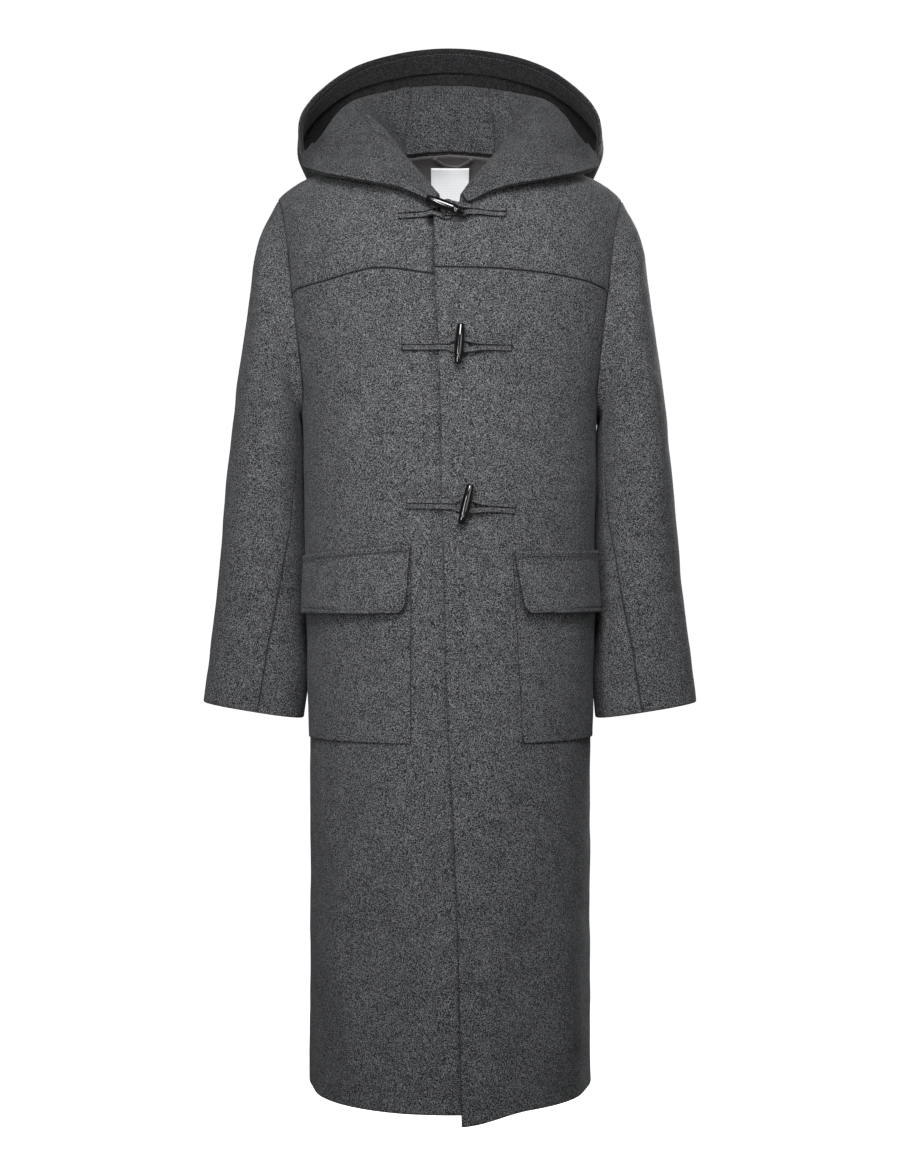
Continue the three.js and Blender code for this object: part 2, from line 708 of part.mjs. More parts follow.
// Rows crowd into the facing's band, so that the facing lies on the same points.
function hoodShare(place, row) {
  const band = facingShare(place);
  const below = HOOD_ROWS - BAND_ROWS;
  return row <= below ? ((1 - band) * row) / below : 1 - band + (band * (row - below)) / BAND_ROWS;
}

function buildHood() {
  const seam = (share) => look(HOOD_SEAM, 'share', 'round', share);
  const panel = (first, last, columns, firstRow, lift) =>
    gridOf(HOOD_ROWS - firstRow, columns, (across, up) => {
      const row = Math.round(firstRow + up * (HOOD_ROWS - firstRow));
      const near = mix(first(1), last(1), across);
      const share = hoodShare(near, row);
      const place = mix(first(share), last(share), across);
      return hoodSample(place, share, lift(place));
    });
  const right = () => -1;
  const left = () => 1;
  const rightSeam = (share) => -seam(share);
  const panels = (firstRow, lift) => [
    panel(right, rightSeam, HOOD_SIDE_COLUMNS, firstRow, lift),
    panel(rightSeam, seam, HOOD_CENTRE_COLUMNS, firstRow, lift),
    panel(seam, left, HOOD_SIDE_COLUMNS, firstRow, lift),
  ];
  ['hood_side_right', 'hood_centre', 'hood_side_left'].forEach((name, i) => {
    add(name, wall(panels(0, () => 0)[i], CLOTH), COLOURS.wool);
  });
  const lift = (place) => {
    const off = (Math.abs(place) - FACING_EASE.place) / FACING_EASE.spread;
    return CLOTH / 2 + LAID + FACING_EASE.extra * Math.exp(-off * off) + SINGLE / 2;
  };
  const band = (raised) => {
    const parts = panels(HOOD_ROWS - BAND_ROWS, raised);
    return parts[0].map((line, r) => [...line, ...parts[1][r].slice(1), ...parts[2][r].slice(1)]);
  };
  add('hood_facing', wall(band(lift), SINGLE, band(() => 0)), COLOURS.wool);
}

function buildPocket(pocket) {
  const lift = CLOTH / 2 + LAID + SINGLE / 2;
  const grid = gridOf(6, POCKET_COLUMNS, (across, down) => {
    const level = levelOf(mix(POCKET_TOP, POCKET_BOTTOM, down));
    const inner = angleAt(mix(pocket.topX, pocket.bottomX, down), level);
    return laidOnFront(pocket.side, mix(inner, pocket.outer, across), level, lift);
  });
  add(`pocket_${pocket.name}`, wall(grid, SINGLE), COLOURS.wool);
}

const FLAP_ROWS = [0, 0.3, 0.62, 0.86, 0.95, 1];

function buildFlap(flap) {
  const onPocket = CLOTH / 2 + LAID + SINGLE + FLAP_GAP + CLOTH / 2;
  const grid = FLAP_ROWS.map((down) => {
    const line = [];
    for (let c = 0; c <= POCKET_COLUMNS; c += 1) {
      const across = c / POCKET_COLUMNS;
      const top = mix(flap.innerTop, flap.outerTop, across);
      const height = top - flap.bottom;
      const level = levelOf(mix(top, flap.bottom, down));
      const turn = clamp((down * height - (height - FLAP_CORNER)) / FLAP_CORNER, 0, 1);
      const rounding = FLAP_CORNER * (1 - Math.sqrt(1 - turn * turn * 0.9));
      const inner = angleAt(mix(flap.topX, flap.bottomX, down) + rounding, level);
      const lift = onPocket + FLAP_STAND * smooth(down);
      line.push(laidOnFront(flap.side, mix(inner, flap.outer, across), level, lift));
    }
    return line;
  });
  add(`flap_${flap.name}`, wall(grid, CLOTH), COLOURS.wool);
}

// A sample over the fronts at a distance from the middle and a height.
function overFronts(x, z, lift) {
  const level = z <= CHEST_Z ? levelOf(z) : upperLevel(x, z);
  const side = x >= frontEdgeX(1, level) - EDGE_RISE ? 1 : -1;
  return onFront(side, angleAt(x * side, level), level, lift);
}

// The level above the chest at which the body reaches a height.
function upperLevel(x, z) {
  let low = 1;
  let high = 2;
  for (let i = 0; i < 40; i += 1) {
    const middle = (low + high) / 2;
    if (body(1, angleAt(Math.abs(x), middle), middle).z < z) low = middle;
    else high = middle;
  }
  return low;
}

const STRAND_PITCH = STRAND_WIDTH + SEAM;
const EDGE_RISE = 12;

// Half the height of a loop's eye and of a tab's turn, and how far each turns past the toggle.
const EYE_HALF = 8.5;
const TAB_HALF = STRAND_PITCH / 2 + 1.2;
const EYE_PAST = 6.5;
const TAB_PAST = 1;

// Over this length the strands part towards the turn, whose ends close in and whose tip bows out.
const FREE = 16;
const TURN_CLOSE = 0.72;
const TURN_BOW = 0.55;

// Shares of the way from a strip's sewn end to its turn.
const STRIP_STATIONS = [0, 0.3, 0.55, 0.72, 0.84, 0.93, 1];

// A tab climbs onto the loop round this share of its way.
const CLIMB = { from: 0.35, over: 0.3 };

// The path of a doubled strip: out along one strand, round its turn and back.
function doubledStrip(closure, fixedX, fixedZ, turnHalf, turnX, liftAt) {
  const way = Math.sign(turnX - fixedX);
  const length = Math.abs(turnX - fixedX);
  const one = (sign) => STRIP_STATIONS.map((along) => {
    const x = fixedX + way * length * along;
    const base = mix(fixedZ, closure.z, along);
    const left = length * (1 - along);
    const spread = left < FREE ? mix(turnHalf, STRAND_PITCH / 2, smooth(left / FREE)) : STRAND_PITCH / 2;
    const z = base + sign * spread * (along === 1 ? TURN_CLOSE : 1);
    return { x, z, along };
  });
  const tip = { x: turnX + way * turnHalf * TURN_BOW, z: closure.z, along: 1 };
  return [...one(1), tip, ...one(-1).reverse()].map((p) => overFronts(p.x, p.z, liftAt(p.along)));
}

// Sections along a toggle: place, share of the full radius, and whether the back is cut away.
const TOGGLE_SIDES = 12;
const TOGGLE_RINGS = [
  { along: -0.5, share: 0.55 },
  { along: -0.475, share: 0.8 },
  { along: -0.3, share: 0.95 },
  { along: -0.21, share: 1 },
  { along: -0.19, share: 1, notch: 1 },
  { along: 0.19, share: 1, notch: 1 },
  { along: 0.21, share: 1 },
  { along: 0.3, share: 0.93 },
  { along: 0.475, share: 0.78 },
  { along: 0.5, share: 0.52 },
];

function toggleGeometry(closure) {
  const frame = overFronts(closure.x, closure.z, 0);
  const up = new THREE.Vector3(Math.sin(closure.lean * DEGREE), 0, Math.cos(closure.lean * DEGREE));
  up.addScaledVector(frame.out, -up.dot(frame.out)).normalize();
  const across = up.clone().cross(frame.out).normalize();
  const centre = frame.point.clone().addScaledVector(frame.out, TOGGLE_LIFT + closure.lift);
  const positions = [];
  for (const ring of TOGGLE_RINGS) {
    for (let k = 0; k < TOGGLE_SIDES; k += 1) {
      const turn = (k / TOGGLE_SIDES) * 2 * Math.PI;
      const back = Math.max(0, -Math.sin(turn)) * (ring.notch ?? 0);
      const radius = TOGGLE_RADIUS * ring.share * (1 - TOGGLE_NOTCH * back);
      const p = centre.clone().addScaledVector(up, ring.along * TOGGLE_LENGTH)
        .addScaledVector(across, Math.cos(turn) * radius)
        .addScaledVector(frame.out, Math.sin(turn) * radius);
      positions.push(p.x, p.y, p.z);
    }
  }
  return tube(positions, TOGGLE_RINGS.length, TOGGLE_SIDES);
}

const LOOP_LIFT = CLOTH / 2 + LAID + STRAND_THICK / 2;
const TAB_LIFT = LOOP_LIFT + STRAND_THICK + SEAM;
const TOGGLE_NOTCH = 0.42;
const TOGGLE_LIFT = TAB_LIFT + STRAND_THICK / 2 + SEAM + TOGGLE_RADIUS * (1 - TOGGLE_NOTCH);

function buildClosure(closure, number) {
  const loopTurn = closure.x + EYE_PAST;
  const loop = doubledStrip(closure, closure.loopX, closure.loopZ, EYE_HALF, loopTurn, () => LOOP_LIFT);
  add(`loop_${number}`, strand(loop, STRAND_WIDTH, STRAND_THICK), COLOURS.wool);
  const tabTurn = closure.x + TAB_PAST;
  const rise = (along) => mix(LOOP_LIFT, TAB_LIFT, smooth((along - CLIMB.from) / CLIMB.over));
  const tab = doubledStrip(closure, closure.tabX, closure.tabZ, TAB_HALF, tabTurn, rise);
  add(`tab_${number}`, strand(tab, STRAND_WIDTH, STRAND_THICK), COLOURS.wool);
  add(`toggle_${number}`, toggleGeometry(closure), COLOURS.horn);
}

// A place inside the back panel, by its rows and columns.
function insideBack(row, column, depth) {
  return between(backGrid, row, column, -depth);
}

function buildNeckPieces() {
  const middle = BACK_COLUMNS / 2;
  const liningDepth = CLOTH / 2 + SEAM + SATIN / 2;
  const lining = gridOf(LINING_ROWS, 4, (across, up) =>
    insideBack(BACK_ROWS - LINING_ROWS * (1 - up), middle + mix(-2, 2, across), liningDepth));
  add('lining', wall(lining, SATIN), COLOURS.lining);
  const labelDepth = liningDepth + SATIN / 2 + LAID + LABEL / 2;
  const label = gridOf(2, 4, (across, up) => {
    const row = mix(LABEL_BOTTOM_ROW, LABEL_TOP_ROW, up);
    return insideBack(row, middle + mix(-LABEL_HALF, LABEL_HALF, across), labelDepth);
  });
  add('label', wall(label, LABEL), COLOURS.label);
  const loopDepth = liningDepth + SATIN / 2 + LAID + HANGER_THICK / 2;
  const hanger = [];
  for (let i = 0; i <= 10; i += 1) {
    const along = i / 10;
    const sag = HANGER_SAG_ROWS * Math.sin(Math.PI * along);
    hanger.push(insideBack(HANGER_ROW - sag, middle + mix(HANGER_FROM, HANGER_TO, along), loopDepth));
  }
  add('hanger_loop', strand(hanger, HANGER_WIDTH, HANGER_THICK), COLOURS.lining);
}

buildFront('left', 1, YOKE_LEFT);
buildFront('right', -1, YOKE_RIGHT);
buildYoke('left', 1, YOKE_LEFT);
buildYoke('right', -1, YOKE_RIGHT);
buildBack();
buildSleeve('left', 1);
buildSleeve('right', -1);
buildHood();
POCKETS.forEach(buildPocket);
FLAPS.forEach(buildFlap);
CLOSURES.forEach((closure, i) => buildClosure(closure, i + 1));
buildNeckPieces();

export default coat;
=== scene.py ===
"""Looks of a hooded duffle coat in grey melange wool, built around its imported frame.

Lengths in the tables and classes are millimetres, as a pattern cutter writes them. +Z is up, -Y is the
front and +X is the wearer's left. Meshes are written in metres. The coat is filled out as if worn.
"""

import logging
import math
from dataclasses import dataclass, field
from enum import Enum
from typing import Callable, Iterable, Sequence

import bpy
import numpy as np
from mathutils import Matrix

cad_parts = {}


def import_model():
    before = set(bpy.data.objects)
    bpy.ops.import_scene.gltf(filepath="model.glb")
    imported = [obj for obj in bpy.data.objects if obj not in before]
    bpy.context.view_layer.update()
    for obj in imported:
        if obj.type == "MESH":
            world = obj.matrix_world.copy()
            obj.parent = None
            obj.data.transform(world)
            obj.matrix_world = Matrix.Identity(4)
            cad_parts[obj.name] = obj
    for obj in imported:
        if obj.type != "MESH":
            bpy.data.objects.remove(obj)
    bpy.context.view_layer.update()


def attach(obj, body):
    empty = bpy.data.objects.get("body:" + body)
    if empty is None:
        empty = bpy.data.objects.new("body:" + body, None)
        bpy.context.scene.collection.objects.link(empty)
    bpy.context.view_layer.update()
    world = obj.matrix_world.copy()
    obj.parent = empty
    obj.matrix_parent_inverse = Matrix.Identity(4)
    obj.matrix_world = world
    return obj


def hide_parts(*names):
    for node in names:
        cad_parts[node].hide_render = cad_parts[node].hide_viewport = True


Array = np.ndarray
Surface = Callable[[Array, Array], Array]

METRES = 0.001
CLOTH_HALF = 1.3
BODY = "root"
# Name of the per-corner attribute that holds painted shade for the wool.
PAINTED_SHADE = "painted_shade"

log = logging.getLogger("coat")


# Small sums that many pieces use.


def mix(low: Array, high: Array, share: Array) -> Array:
    """Returns the value at a share of the way from low to high."""
    return low + (high - low) * share


def smooth(share: Array) -> Array:
    """Returns an eased share that starts and ends level, held between 0 and 1."""
    held = np.clip(share, 0.0, 1.0)
    return held * held * (3 - 2 * held)


def signed_power(value: Array, power: Array) -> Array:
    """Returns the power of the absolute value, with the value's own sign."""
    return np.sign(value) * np.abs(value) ** power


def unit(vectors: Array) -> Array:
    """Returns the vectors at length one."""
    length = np.linalg.norm(vectors, axis=-1, keepdims=True)
    return vectors / np.maximum(length, 1e-9)


def hermite(start: Array, end: Array, slope_in: Array, slope_out: Array, share: Array) -> Array:
    """Returns the cubic between two values with the given slopes.

    Args:
        start: Value at share 0.
        end: Value at share 1.
        slope_in: Slope at the start, for the whole span.
        slope_out: Slope at the end, for the whole span.
        share: Place on the span.

    Returns:
        The value at each share.
    """
    square = share * share
    cube = square * share
    return ((2 * cube - 3 * square + 1) * start + (cube - 2 * square + share) * slope_in
            + (3 * square - 2 * cube) * end + (cube - square) * slope_out)


class Table:
    """A short table with named columns, read as smooth curves over its first column."""

    def __init__(self, columns: str, rows: Sequence[Sequence[float]]) -> None:
        """Keeps the columns by name."""
        self.names = columns.split()
        self.rows = np.array(rows, float)

    def at(self, name: str, where: Array) -> Array:
        """Reads one column.

        Args:
            name: The column's name.
            where: Places along the first column.

        Returns:
            The column's value at each place, running straight on past the table's ends.
        """
        along = self.rows[:, 0]
        values = self.rows[:, self.names.index(name)]
        last = len(along) - 1
        before = np.maximum(np.arange(last + 1) - 1, 0)
        after = np.minimum(np.arange(last + 1) + 1, last)
        slope = (values[after] - values[before]) / (along[after] - along[before])
        held = np.clip(where, along[0], along[-1])
        index = np.clip(np.searchsorted(along, held, side="right") - 1, 0, last - 1)
        span = along[index + 1] - along[index]
        inside = hermite(values[index], values[index + 1], slope[index] * span,
                         slope[index + 1] * span, (held - along[index]) / span)
        past = np.where(where < along[0], slope[0], slope[-1]) * (where - held)
        return inside + past


def centripetal(points: Array, share: Array) -> Array:
    """Reads smooth curves that pass through their points without loops.

    Args:
        points: Curves by rows, each with the same number of points.
        share: Place along each curve, by its points.

    Returns:
        One point for each curve.
    """
    count = points.shape[1] - 1
    where = np.clip(share, 0.0, 1.0) * count
    index = np.minimum(where.astype(int), count - 1)
    weight = (where - index)[:, None]
    first = 2 * points[:, :1] - points[:, 1:2]
    last = 2 * points[:, -1:] - points[:, -2:-1]
    run = np.concatenate([first, points, last], axis=1)
    rows = np.arange(len(points))
    a, b, c, d = (run[rows, index + step] for step in range(4))
    gaps = [np.maximum(np.linalg.norm(q - p, axis=1, keepdims=True), 1e-6) ** 0.5
            for p, q in ((a, b), (b, c), (c, d))]
    slope_in = ((b - a) / gaps[0] - (c - a) / (gaps[0] + gaps[1]) + (c - b) / gaps[1]) * gaps[1]
    slope_out = ((c - b) / gaps[1] - (d - b) / (gaps[1] + gaps[2]) + (d - c) / gaps[2]) * gaps[1]
    return hermite(b, c, slope_in, slope_out, weight)


def even(points: Array, station: Array) -> Array:
    """Reads one curve through evenly counted points.

    Args:
        points: The curve's points.
        station: Places along it, counted in points.

    Returns:
        One point for each place.
    """
    count = len(points) - 1
    run = np.concatenate([2 * points[:1] - points[1:2], points, 2 * points[-1:] - points[-2:-1]])
    index = np.clip(station.astype(int), 0, count - 1)
    weight = (station - index)[:, None]
    a, b, c, d = (run[index + step] for step in range(4))
    return hermite(b, c, (c - a) / 2, (d - b) / 2, weight)


def normals_of(surface: Surface, u: Array, v: Array, step_u: float, step_v: float, sign: float) -> Array:
    """Finds a surface's unit normals.

    Args:
        surface: Gives points for two arrays of parameters.
        u: First parameter.
        v: Second parameter.
        step_u: Step for the slope along u.
        step_v: Step for the slope along v.
        sign: 1 or -1, to turn the normals to the cloth's right side.

    Returns:
        One unit vector for each pair of parameters.
    """
    along_u = surface(u + step_u, v) - surface(u - step_u, v)
    along_v = surface(u, v + step_v) - surface(u, v - step_v)
    return unit(np.cross(along_u, along_v)) * sign


# Waves that make cloth slightly uneven: wavelength, height, direction and phase.
UNEVEN = (
    (34.0, 0.11, (0.8, 0.1, 0.6), 0.3), (47.0, 0.14, (0.3, 0.5, -0.8), 1.9),
    (61.0, 0.18, (-0.7, 0.2, 0.7), 4.1), (83.0, 0.22, (0.9, 0.4, 0.1), 2.6),
    (25.0, 0.07, (0.1, 0.7, 0.7), 5.2), (118.0, 0.3, (0.5, -0.3, 0.8), 0.9),
)


def unevenness(points: Array) -> Array:
    """Returns how far soft cloth stands off its plain form at each point."""
    height = np.zeros(points.shape[:-1])
    for wave, rise, way, phase in UNEVEN:
        height += rise * np.sin(points @ unit(np.array(way)) * (2 * math.pi / wave) + phase)
    return height


@dataclass(frozen=True)
class Crease:
    """A soft trough or ridge across cloth, placed on a view from the front or from behind.

    A positive depth is a ridge and a negative one a trough. Facing is -1 for the front and 1 for the
    back. The bow moves its middle sideways.
    """

    start: tuple[float, float]
    end: tuple[float, float]
    width: float
    depth: float
    facing: int = -1
    bow: float = 0.0

    # Share of its length over which a crease fades, and how far round the cloth turns before it ends.
    END_FADE = 0.3
    TURN_START, TURN_SPAN = 0.15, 0.5

    def lift(self, points: Array, outward: Array) -> Array:
        """Finds how far this crease moves each point.

        Args:
            points: Points of the cloth.
            outward: The cloth's normals there.

        Returns:
            The distance along the normal.
        """
        start = np.array(self.start)
        way = np.array(self.end) - start
        length = np.linalg.norm(way)
        way = way / length
        offset = points[..., [0, 2]] - start
        along = (offset @ way) / length
        across = offset @ np.array([-way[1], way[0]]) - self.bow * 4 * along * (1 - along)
        fade = smooth(along / self.END_FADE) * smooth((1 - along) / self.END_FADE)
        turned = smooth((outward[..., 1] * self.facing + self.TURN_START) / self.TURN_SPAN)
        return self.depth * fade * turned * np.exp(-((across / self.width) ** 2))


def creased(points: Array, outward: Array, creases: Iterable[Crease]) -> Array:
    """Returns the sum of the creases at each point."""
    return sum((crease.lift(points, outward) for crease in creases), np.zeros(points.shape[:-1]))


# Cloth as meshes.


class Finish(Enum):
    """How an edge of a piece of cloth is made."""

    SEAM = "seam"
    TURNED = "turned"
    HIDDEN = "hidden"


# Distances from an edge at which the mesh gets a line, for each kind of edge.
EDGE_LINES = {
    Finish.SEAM: (0.0, 0.4, 1.0, 1.9, 3.2),
    Finish.TURNED: (0.0, 0.3, 0.9, 1.8, 3.1, 4.5, 5.4, 6.0, 6.6, 7.5, 9.5),
    Finish.HIDDEN: (0.0,),
}
SEAM_ROLL = 2.3
TURN_ROLL = 2.4
STITCH_FROM_EDGE = 6.0
STITCH_LIFT = 1.15
THIN_EDGE = 0.12
SUNK_EDGE = -0.6
# Widths and strengths of the painted shade lines at seams, edges and stitch rows.
SEAM_SHADE_WIDTH = 1.1
EDGE_SHADE_WIDTH = 0.75
EDGE_SHADE = 0.9
STITCH_SHADE_WIDTH = 0.8
STITCH_SHADE = 0.35
STITCH_GROOVE = 0.9
FACING_STEP = 12.0


def spaced(length: float, cell: float, start: Finish, end: Finish) -> Array:
    """Places the lines of a mesh along one side of a piece.

    Args:
        length: The side's length.
        cell: Distance between lines away from the edges.
        start: Finish of the first edge.
        end: Finish of the last edge.

    Returns:
        Shares from 0 to 1.
    """
    low, high = EDGE_LINES[start], EDGE_LINES[end]
    inside = length - low[-1] - high[-1]
    count = max(2, round(inside / cell))
    middle = np.linspace(low[-1], length - high[-1], count + 1)
    return np.concatenate([low[:-1], middle, [length - line for line in reversed(high[:-1])]]) / length


def run_lengths(points: Array, axis: int) -> Array:
    """Returns how far each grid point lies from the grid's first line along an axis."""
    steps = np.linalg.norm(np.diff(points, axis=axis), axis=-1)
    zero_shape = list(steps.shape)
    zero_shape[axis] = 1
    return np.concatenate([np.zeros(zero_shape), np.cumsum(steps, axis=axis)], axis=axis)


def edge_roll(distance: Array, radius: float, least: float = THIN_EDGE) -> Array:
    """Returns the share of full thickness at a distance from a rounded edge.

    Args:
        distance: How far each point lies from the edge.
        radius: How far in the rounding reaches.
        least: The share at the edge itself, below 0 where the cloth sinks into a seam.

    Returns:
        The share at each point.
    """
    inward = 1 - np.clip(distance / radius, 0.0, 1.0)
    return least + (1 - least) * np.sqrt(1 - inward * inward)


def mesh_object(name: str, points: Array, faces: Sequence[Sequence[int]],
                material: bpy.types.Material, painted_shade: Array | None = None) -> bpy.types.Object:
    """Makes a smooth-shaded object.

    Args:
        name: The object's name.
        points: Corners in millimetres.
        faces: Corner numbers of each face.
        material: Its finish.
        painted_shade: Painted shade at each corner, from 0 to 1, which darkens the colour.

    Returns:
        The linked object.
    """
    mesh = bpy.data.meshes.new(name)
    mesh.from_pydata((np.asarray(points, float) * METRES).tolist(), [], faces)
    if painted_shade is not None:
        mesh.attributes.new(PAINTED_SHADE, "FLOAT", "POINT").data.foreach_set("value", np.ravel(painted_shade))
    mesh.materials.append(material)
    mesh.polygons.foreach_set("use_smooth", [True] * len(mesh.polygons))
    mesh.update()
    made = bpy.data.objects.new(name, mesh)
    bpy.context.scene.collection.objects.link(made)
    return made


@dataclass
class Cloth:
    """A piece of cloth as a closed shell over a grid of points on its middle surface.

    Rows run up the piece and columns across it. The edges are left, right, bottom and top.
    """

    name: str
    points: Array
    outward: Array
    edges: tuple[Finish, Finish, Finish, Finish]
    half: float = CLOTH_HALF
    edge_half: float = CLOTH_HALF
    facing: float = 28.0
    stitched: tuple[bool, bool, bool, bool] = (False, False, False, False)
    stitch_depth: float = 0.55
    # Painted shade: extra shade at each point, the strength of the shade line at each edge, and shade on the right
    # side alone.
    shade: Array | None = None
    edge_shades: tuple[float, float, float, float] = (1.0, 1.0, 1.0, 1.0)
    face_shade: float | Array = 0.0

    def painted_shade(self) -> Array:
        """Returns the painted shade at each grid point: dark lines at seams, edges and stitch rows, and any extra
        shade.
        """
        darkened = np.zeros(self.points.shape[:2])
        sides = zip(self.edges, self.stitched, self.edge_shades, self.edge_distances())
        for finish, stitches, strength, distance in sides:
            if finish is Finish.SEAM:
                darkened = np.maximum(darkened, strength * np.exp(-((distance / SEAM_SHADE_WIDTH) ** 2)))
            elif finish is Finish.TURNED:
                darkened = np.maximum(darkened, EDGE_SHADE * strength * np.exp(-((distance / EDGE_SHADE_WIDTH) ** 2)))
            if stitches:
                past = (distance - STITCH_FROM_EDGE) / STITCH_SHADE_WIDTH
                darkened = np.maximum(darkened, STITCH_SHADE * np.exp(-past * past))
        return darkened if self.shade is None else np.maximum(darkened, self.shade)

    def edge_distances(self) -> tuple[Array, Array, Array, Array]:
        """Returns the distances to the left, right, bottom and top edges."""
        across = run_lengths(self.points, 1)
        up = run_lengths(self.points, 0)
        return across, across[:, -1:] - across, up, up[-1:] - up

    def thickness(self) -> tuple[Array, Array]:
        """Returns the half thickness on the right side and on the inner side."""
        right = np.full(self.points.shape[:2], self.half)
        inner = np.full(self.points.shape[:2], self.half)
        for finish, distance in zip(self.edges, self.edge_distances()):
            if finish is Finish.TURNED:
                past = (distance - self.facing) / FACING_STEP + 0.5
                thicker = (self.edge_half - self.half) * (1 - smooth(past))
                right = np.maximum(right, self.half + thicker)
                inner = np.maximum(inner, self.half + thicker)
        for finish, stitches, distance in zip(self.edges, self.stitched, self.edge_distances()):
            if finish is Finish.SEAM:
                right = np.minimum(right, self.half * edge_roll(distance, SEAM_ROLL, SUNK_EDGE))
            elif finish is Finish.TURNED:
                roll = edge_roll(distance, max(TURN_ROLL, self.edge_half))
                right = right * roll
                inner = inner * roll
            if stitches:
                past = (distance - STITCH_FROM_EDGE) / STITCH_GROOVE
                right = right - self.stitch_depth * np.exp(-past * past)
        return right, inner

    def shell(self) -> tuple[Array, list[tuple[int, ...]]]:
        """Returns the closed shell's corners and faces."""
        right, inner = self.thickness()
        rows, columns = self.points.shape[:2]
        top = self.points + self.outward * right[..., None]
        under = self.points - self.outward * inner[..., None]
        corners = np.concatenate([top.reshape(-1, 3), under.reshape(-1, 3)])
        number = np.arange(rows * columns).reshape(rows, columns)
        below = number + rows * columns
        a, b, c, d = number[:-1, :-1], number[:-1, 1:], number[1:, 1:], number[1:, :-1]
        faces = np.stack([a, b, c, d], -1).reshape(-1, 4)
        back = faces[:, ::-1] + rows * columns
        rims = [
            (number[0], below[0], 1), (number[-1], below[-1], -1),
            (number[:, 0], below[:, 0], -1), (number[:, -1], below[:, -1], 1),
        ]
        sides = []
        for line, low, turn in rims:
            quad = np.stack([line[:-1], low[:-1], low[1:], line[1:]], -1)
            sides.append(quad[:, ::turn])
        every = np.concatenate([faces, back, *sides])
        first, second, third = (corners[every[:, k]] for k in (0, 1, 2))
        if (first * np.cross(second, third)).sum() < 0:
            every = every[:, ::-1]
        return corners, every.tolist()

    def cut(self) -> tuple[tuple[float, float], float]:
        """Returns the flat cut's width and length, and its area, in metres and square metres."""
        width = run_lengths(self.points, 1)[:, -1].max()
        length = run_lengths(self.points, 0)[-1].max()
        a, b = self.points[:-1, :-1], self.points[:-1, 1:]
        c, d = self.points[1:, 1:], self.points[1:, :-1]
        area = (np.linalg.norm(np.cross(b - a, c - a), axis=-1)
                + np.linalg.norm(np.cross(c - a, d - a), axis=-1)).sum() / 2
        area = min(area, width * length)
        return (width * METRES, length * METRES), area * METRES**2

    def build(self, material: bpy.types.Material) -> bpy.types.Object:
        """Returns the piece's object."""
        corners, faces = self.shell()
        # The right side gets the face shade on top of the painted shade of its edges.
        painted_shade = self.painted_shade().ravel()
        layers = np.concatenate([np.maximum(painted_shade, self.face_shade), painted_shade])
        return mesh_object(self.name, corners, faces, material, layers)


def sew(piece: bpy.types.Object, nodes: Sequence[str] = ()) -> bpy.types.Object:
    """Puts a piece on the coat.

    Args:
        piece: The piece.
        nodes: CAD nodes that it stands for.

    Returns:
        The same piece.
    """
    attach(piece, BODY)
    if nodes:
        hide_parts(*nodes)
    log.info("%s: %d faces", piece.name, len(piece.data.polygons))
    return piece


def hang(cloth: Cloth, material: bpy.types.Material, nodes: Sequence[str]) -> bpy.types.Object:
    """Builds a piece of cloth and puts it on the coat.

    Args:
        cloth: The piece.
        material: Its finish.
        nodes: CAD nodes that it stands for.

    Returns:
        The piece's object.
    """
    piece = sew(cloth.build(material), nodes)
    return piece


def grid_normals(points: Array, sign: float) -> Array:
    """Returns the unit normals of a grid of points."""
    across = np.gradient(points, axis=1)
    up = np.gradient(points, axis=0)
    return unit(np.cross(across, up)) * sign


def tube_mesh(rings: Array) -> tuple[Array, list[tuple[int, ...]]]:
    """Skins rings of corners and closes both ends.

    Args:
        rings: Corners by ring.

    Returns:
        The corners and the faces.
    """
    count, sides = rings.shape[:2]
    number = np.arange(count * sides).reshape(count, sides)
    turned = np.roll(number, -1, axis=1)
    quads = np.stack([number[:-1], turned[:-1], turned[1:], number[1:]], -1).reshape(-1, 4)
    faces = [tuple(q) for q in quads.tolist()]
    faces.append(tuple(reversed(number[0].tolist())))
    faces.append(tuple(number[-1].tolist()))
    corners = rings.reshape(-1, 3)
    first, second, third = (corners[quads[:, k]] for k in (0, 1, 2))
    if (first * np.cross(second, third)).sum() < 0:
        faces = [tuple(reversed(face)) for face in faces]
    return corners, faces


def strip_rings(path: Array, outward: Array, width: float, thickness: float, sides: int = 16,
                square: float = 0.62) -> Array:
    """Sets a flat rounded section along a path.

    Args:
        path: Points of the middle line.
        outward: The way that the strip's right side faces at each point.
        width: Width of the strip.
        thickness: Its thickness.
        sides: Corners round the section.
        square: Power of the section's sines, lower for a squarer section.

    Returns:
        Rings of corners.
    """
    along = unit(np.gradient(path, axis=0))
    across = unit(np.cross(along, outward))
    up = unit(np.cross(across, along))
    turn = (np.arange(sides) + 0.5) / sides * 2 * math.pi
    wide = signed_power(np.cos(turn), square) * width / 2
    high = signed_power(np.sin(turn), square) * thickness / 2
    return (path[:, None] + across[:, None] * wide[None, :, None] + up[:, None] * high[None, :, None])


# Finishes.


def linear(hex_colour: str) -> tuple[float, float, float, float]:
    """Turns an sRGB hex colour into linear red, green, blue and alpha."""
    shares = [int(hex_colour[k:k + 2], 16) / 255 for k in (1, 3, 5)]
    return (*(s / 12.92 if s <= 0.04045 else ((s + 0.055) / 1.055) ** 2.4 for s in shares), 1.0)


def per_metre(millimetres: float) -> float:
    """Returns the texture scale whose pattern repeats at this size."""
    return 1 / (millimetres * METRES)


def feed(tree: bpy.types.NodeTree, made: bpy.types.Node, inputs: dict) -> None:
    """Links each output socket to its input, by name or number, and sets each plain value."""
    for name, value in inputs.items():
        if isinstance(value, bpy.types.NodeSocket):
            tree.links.new(value, made.inputs[name])
        else:
            made.inputs[name].default_value = value


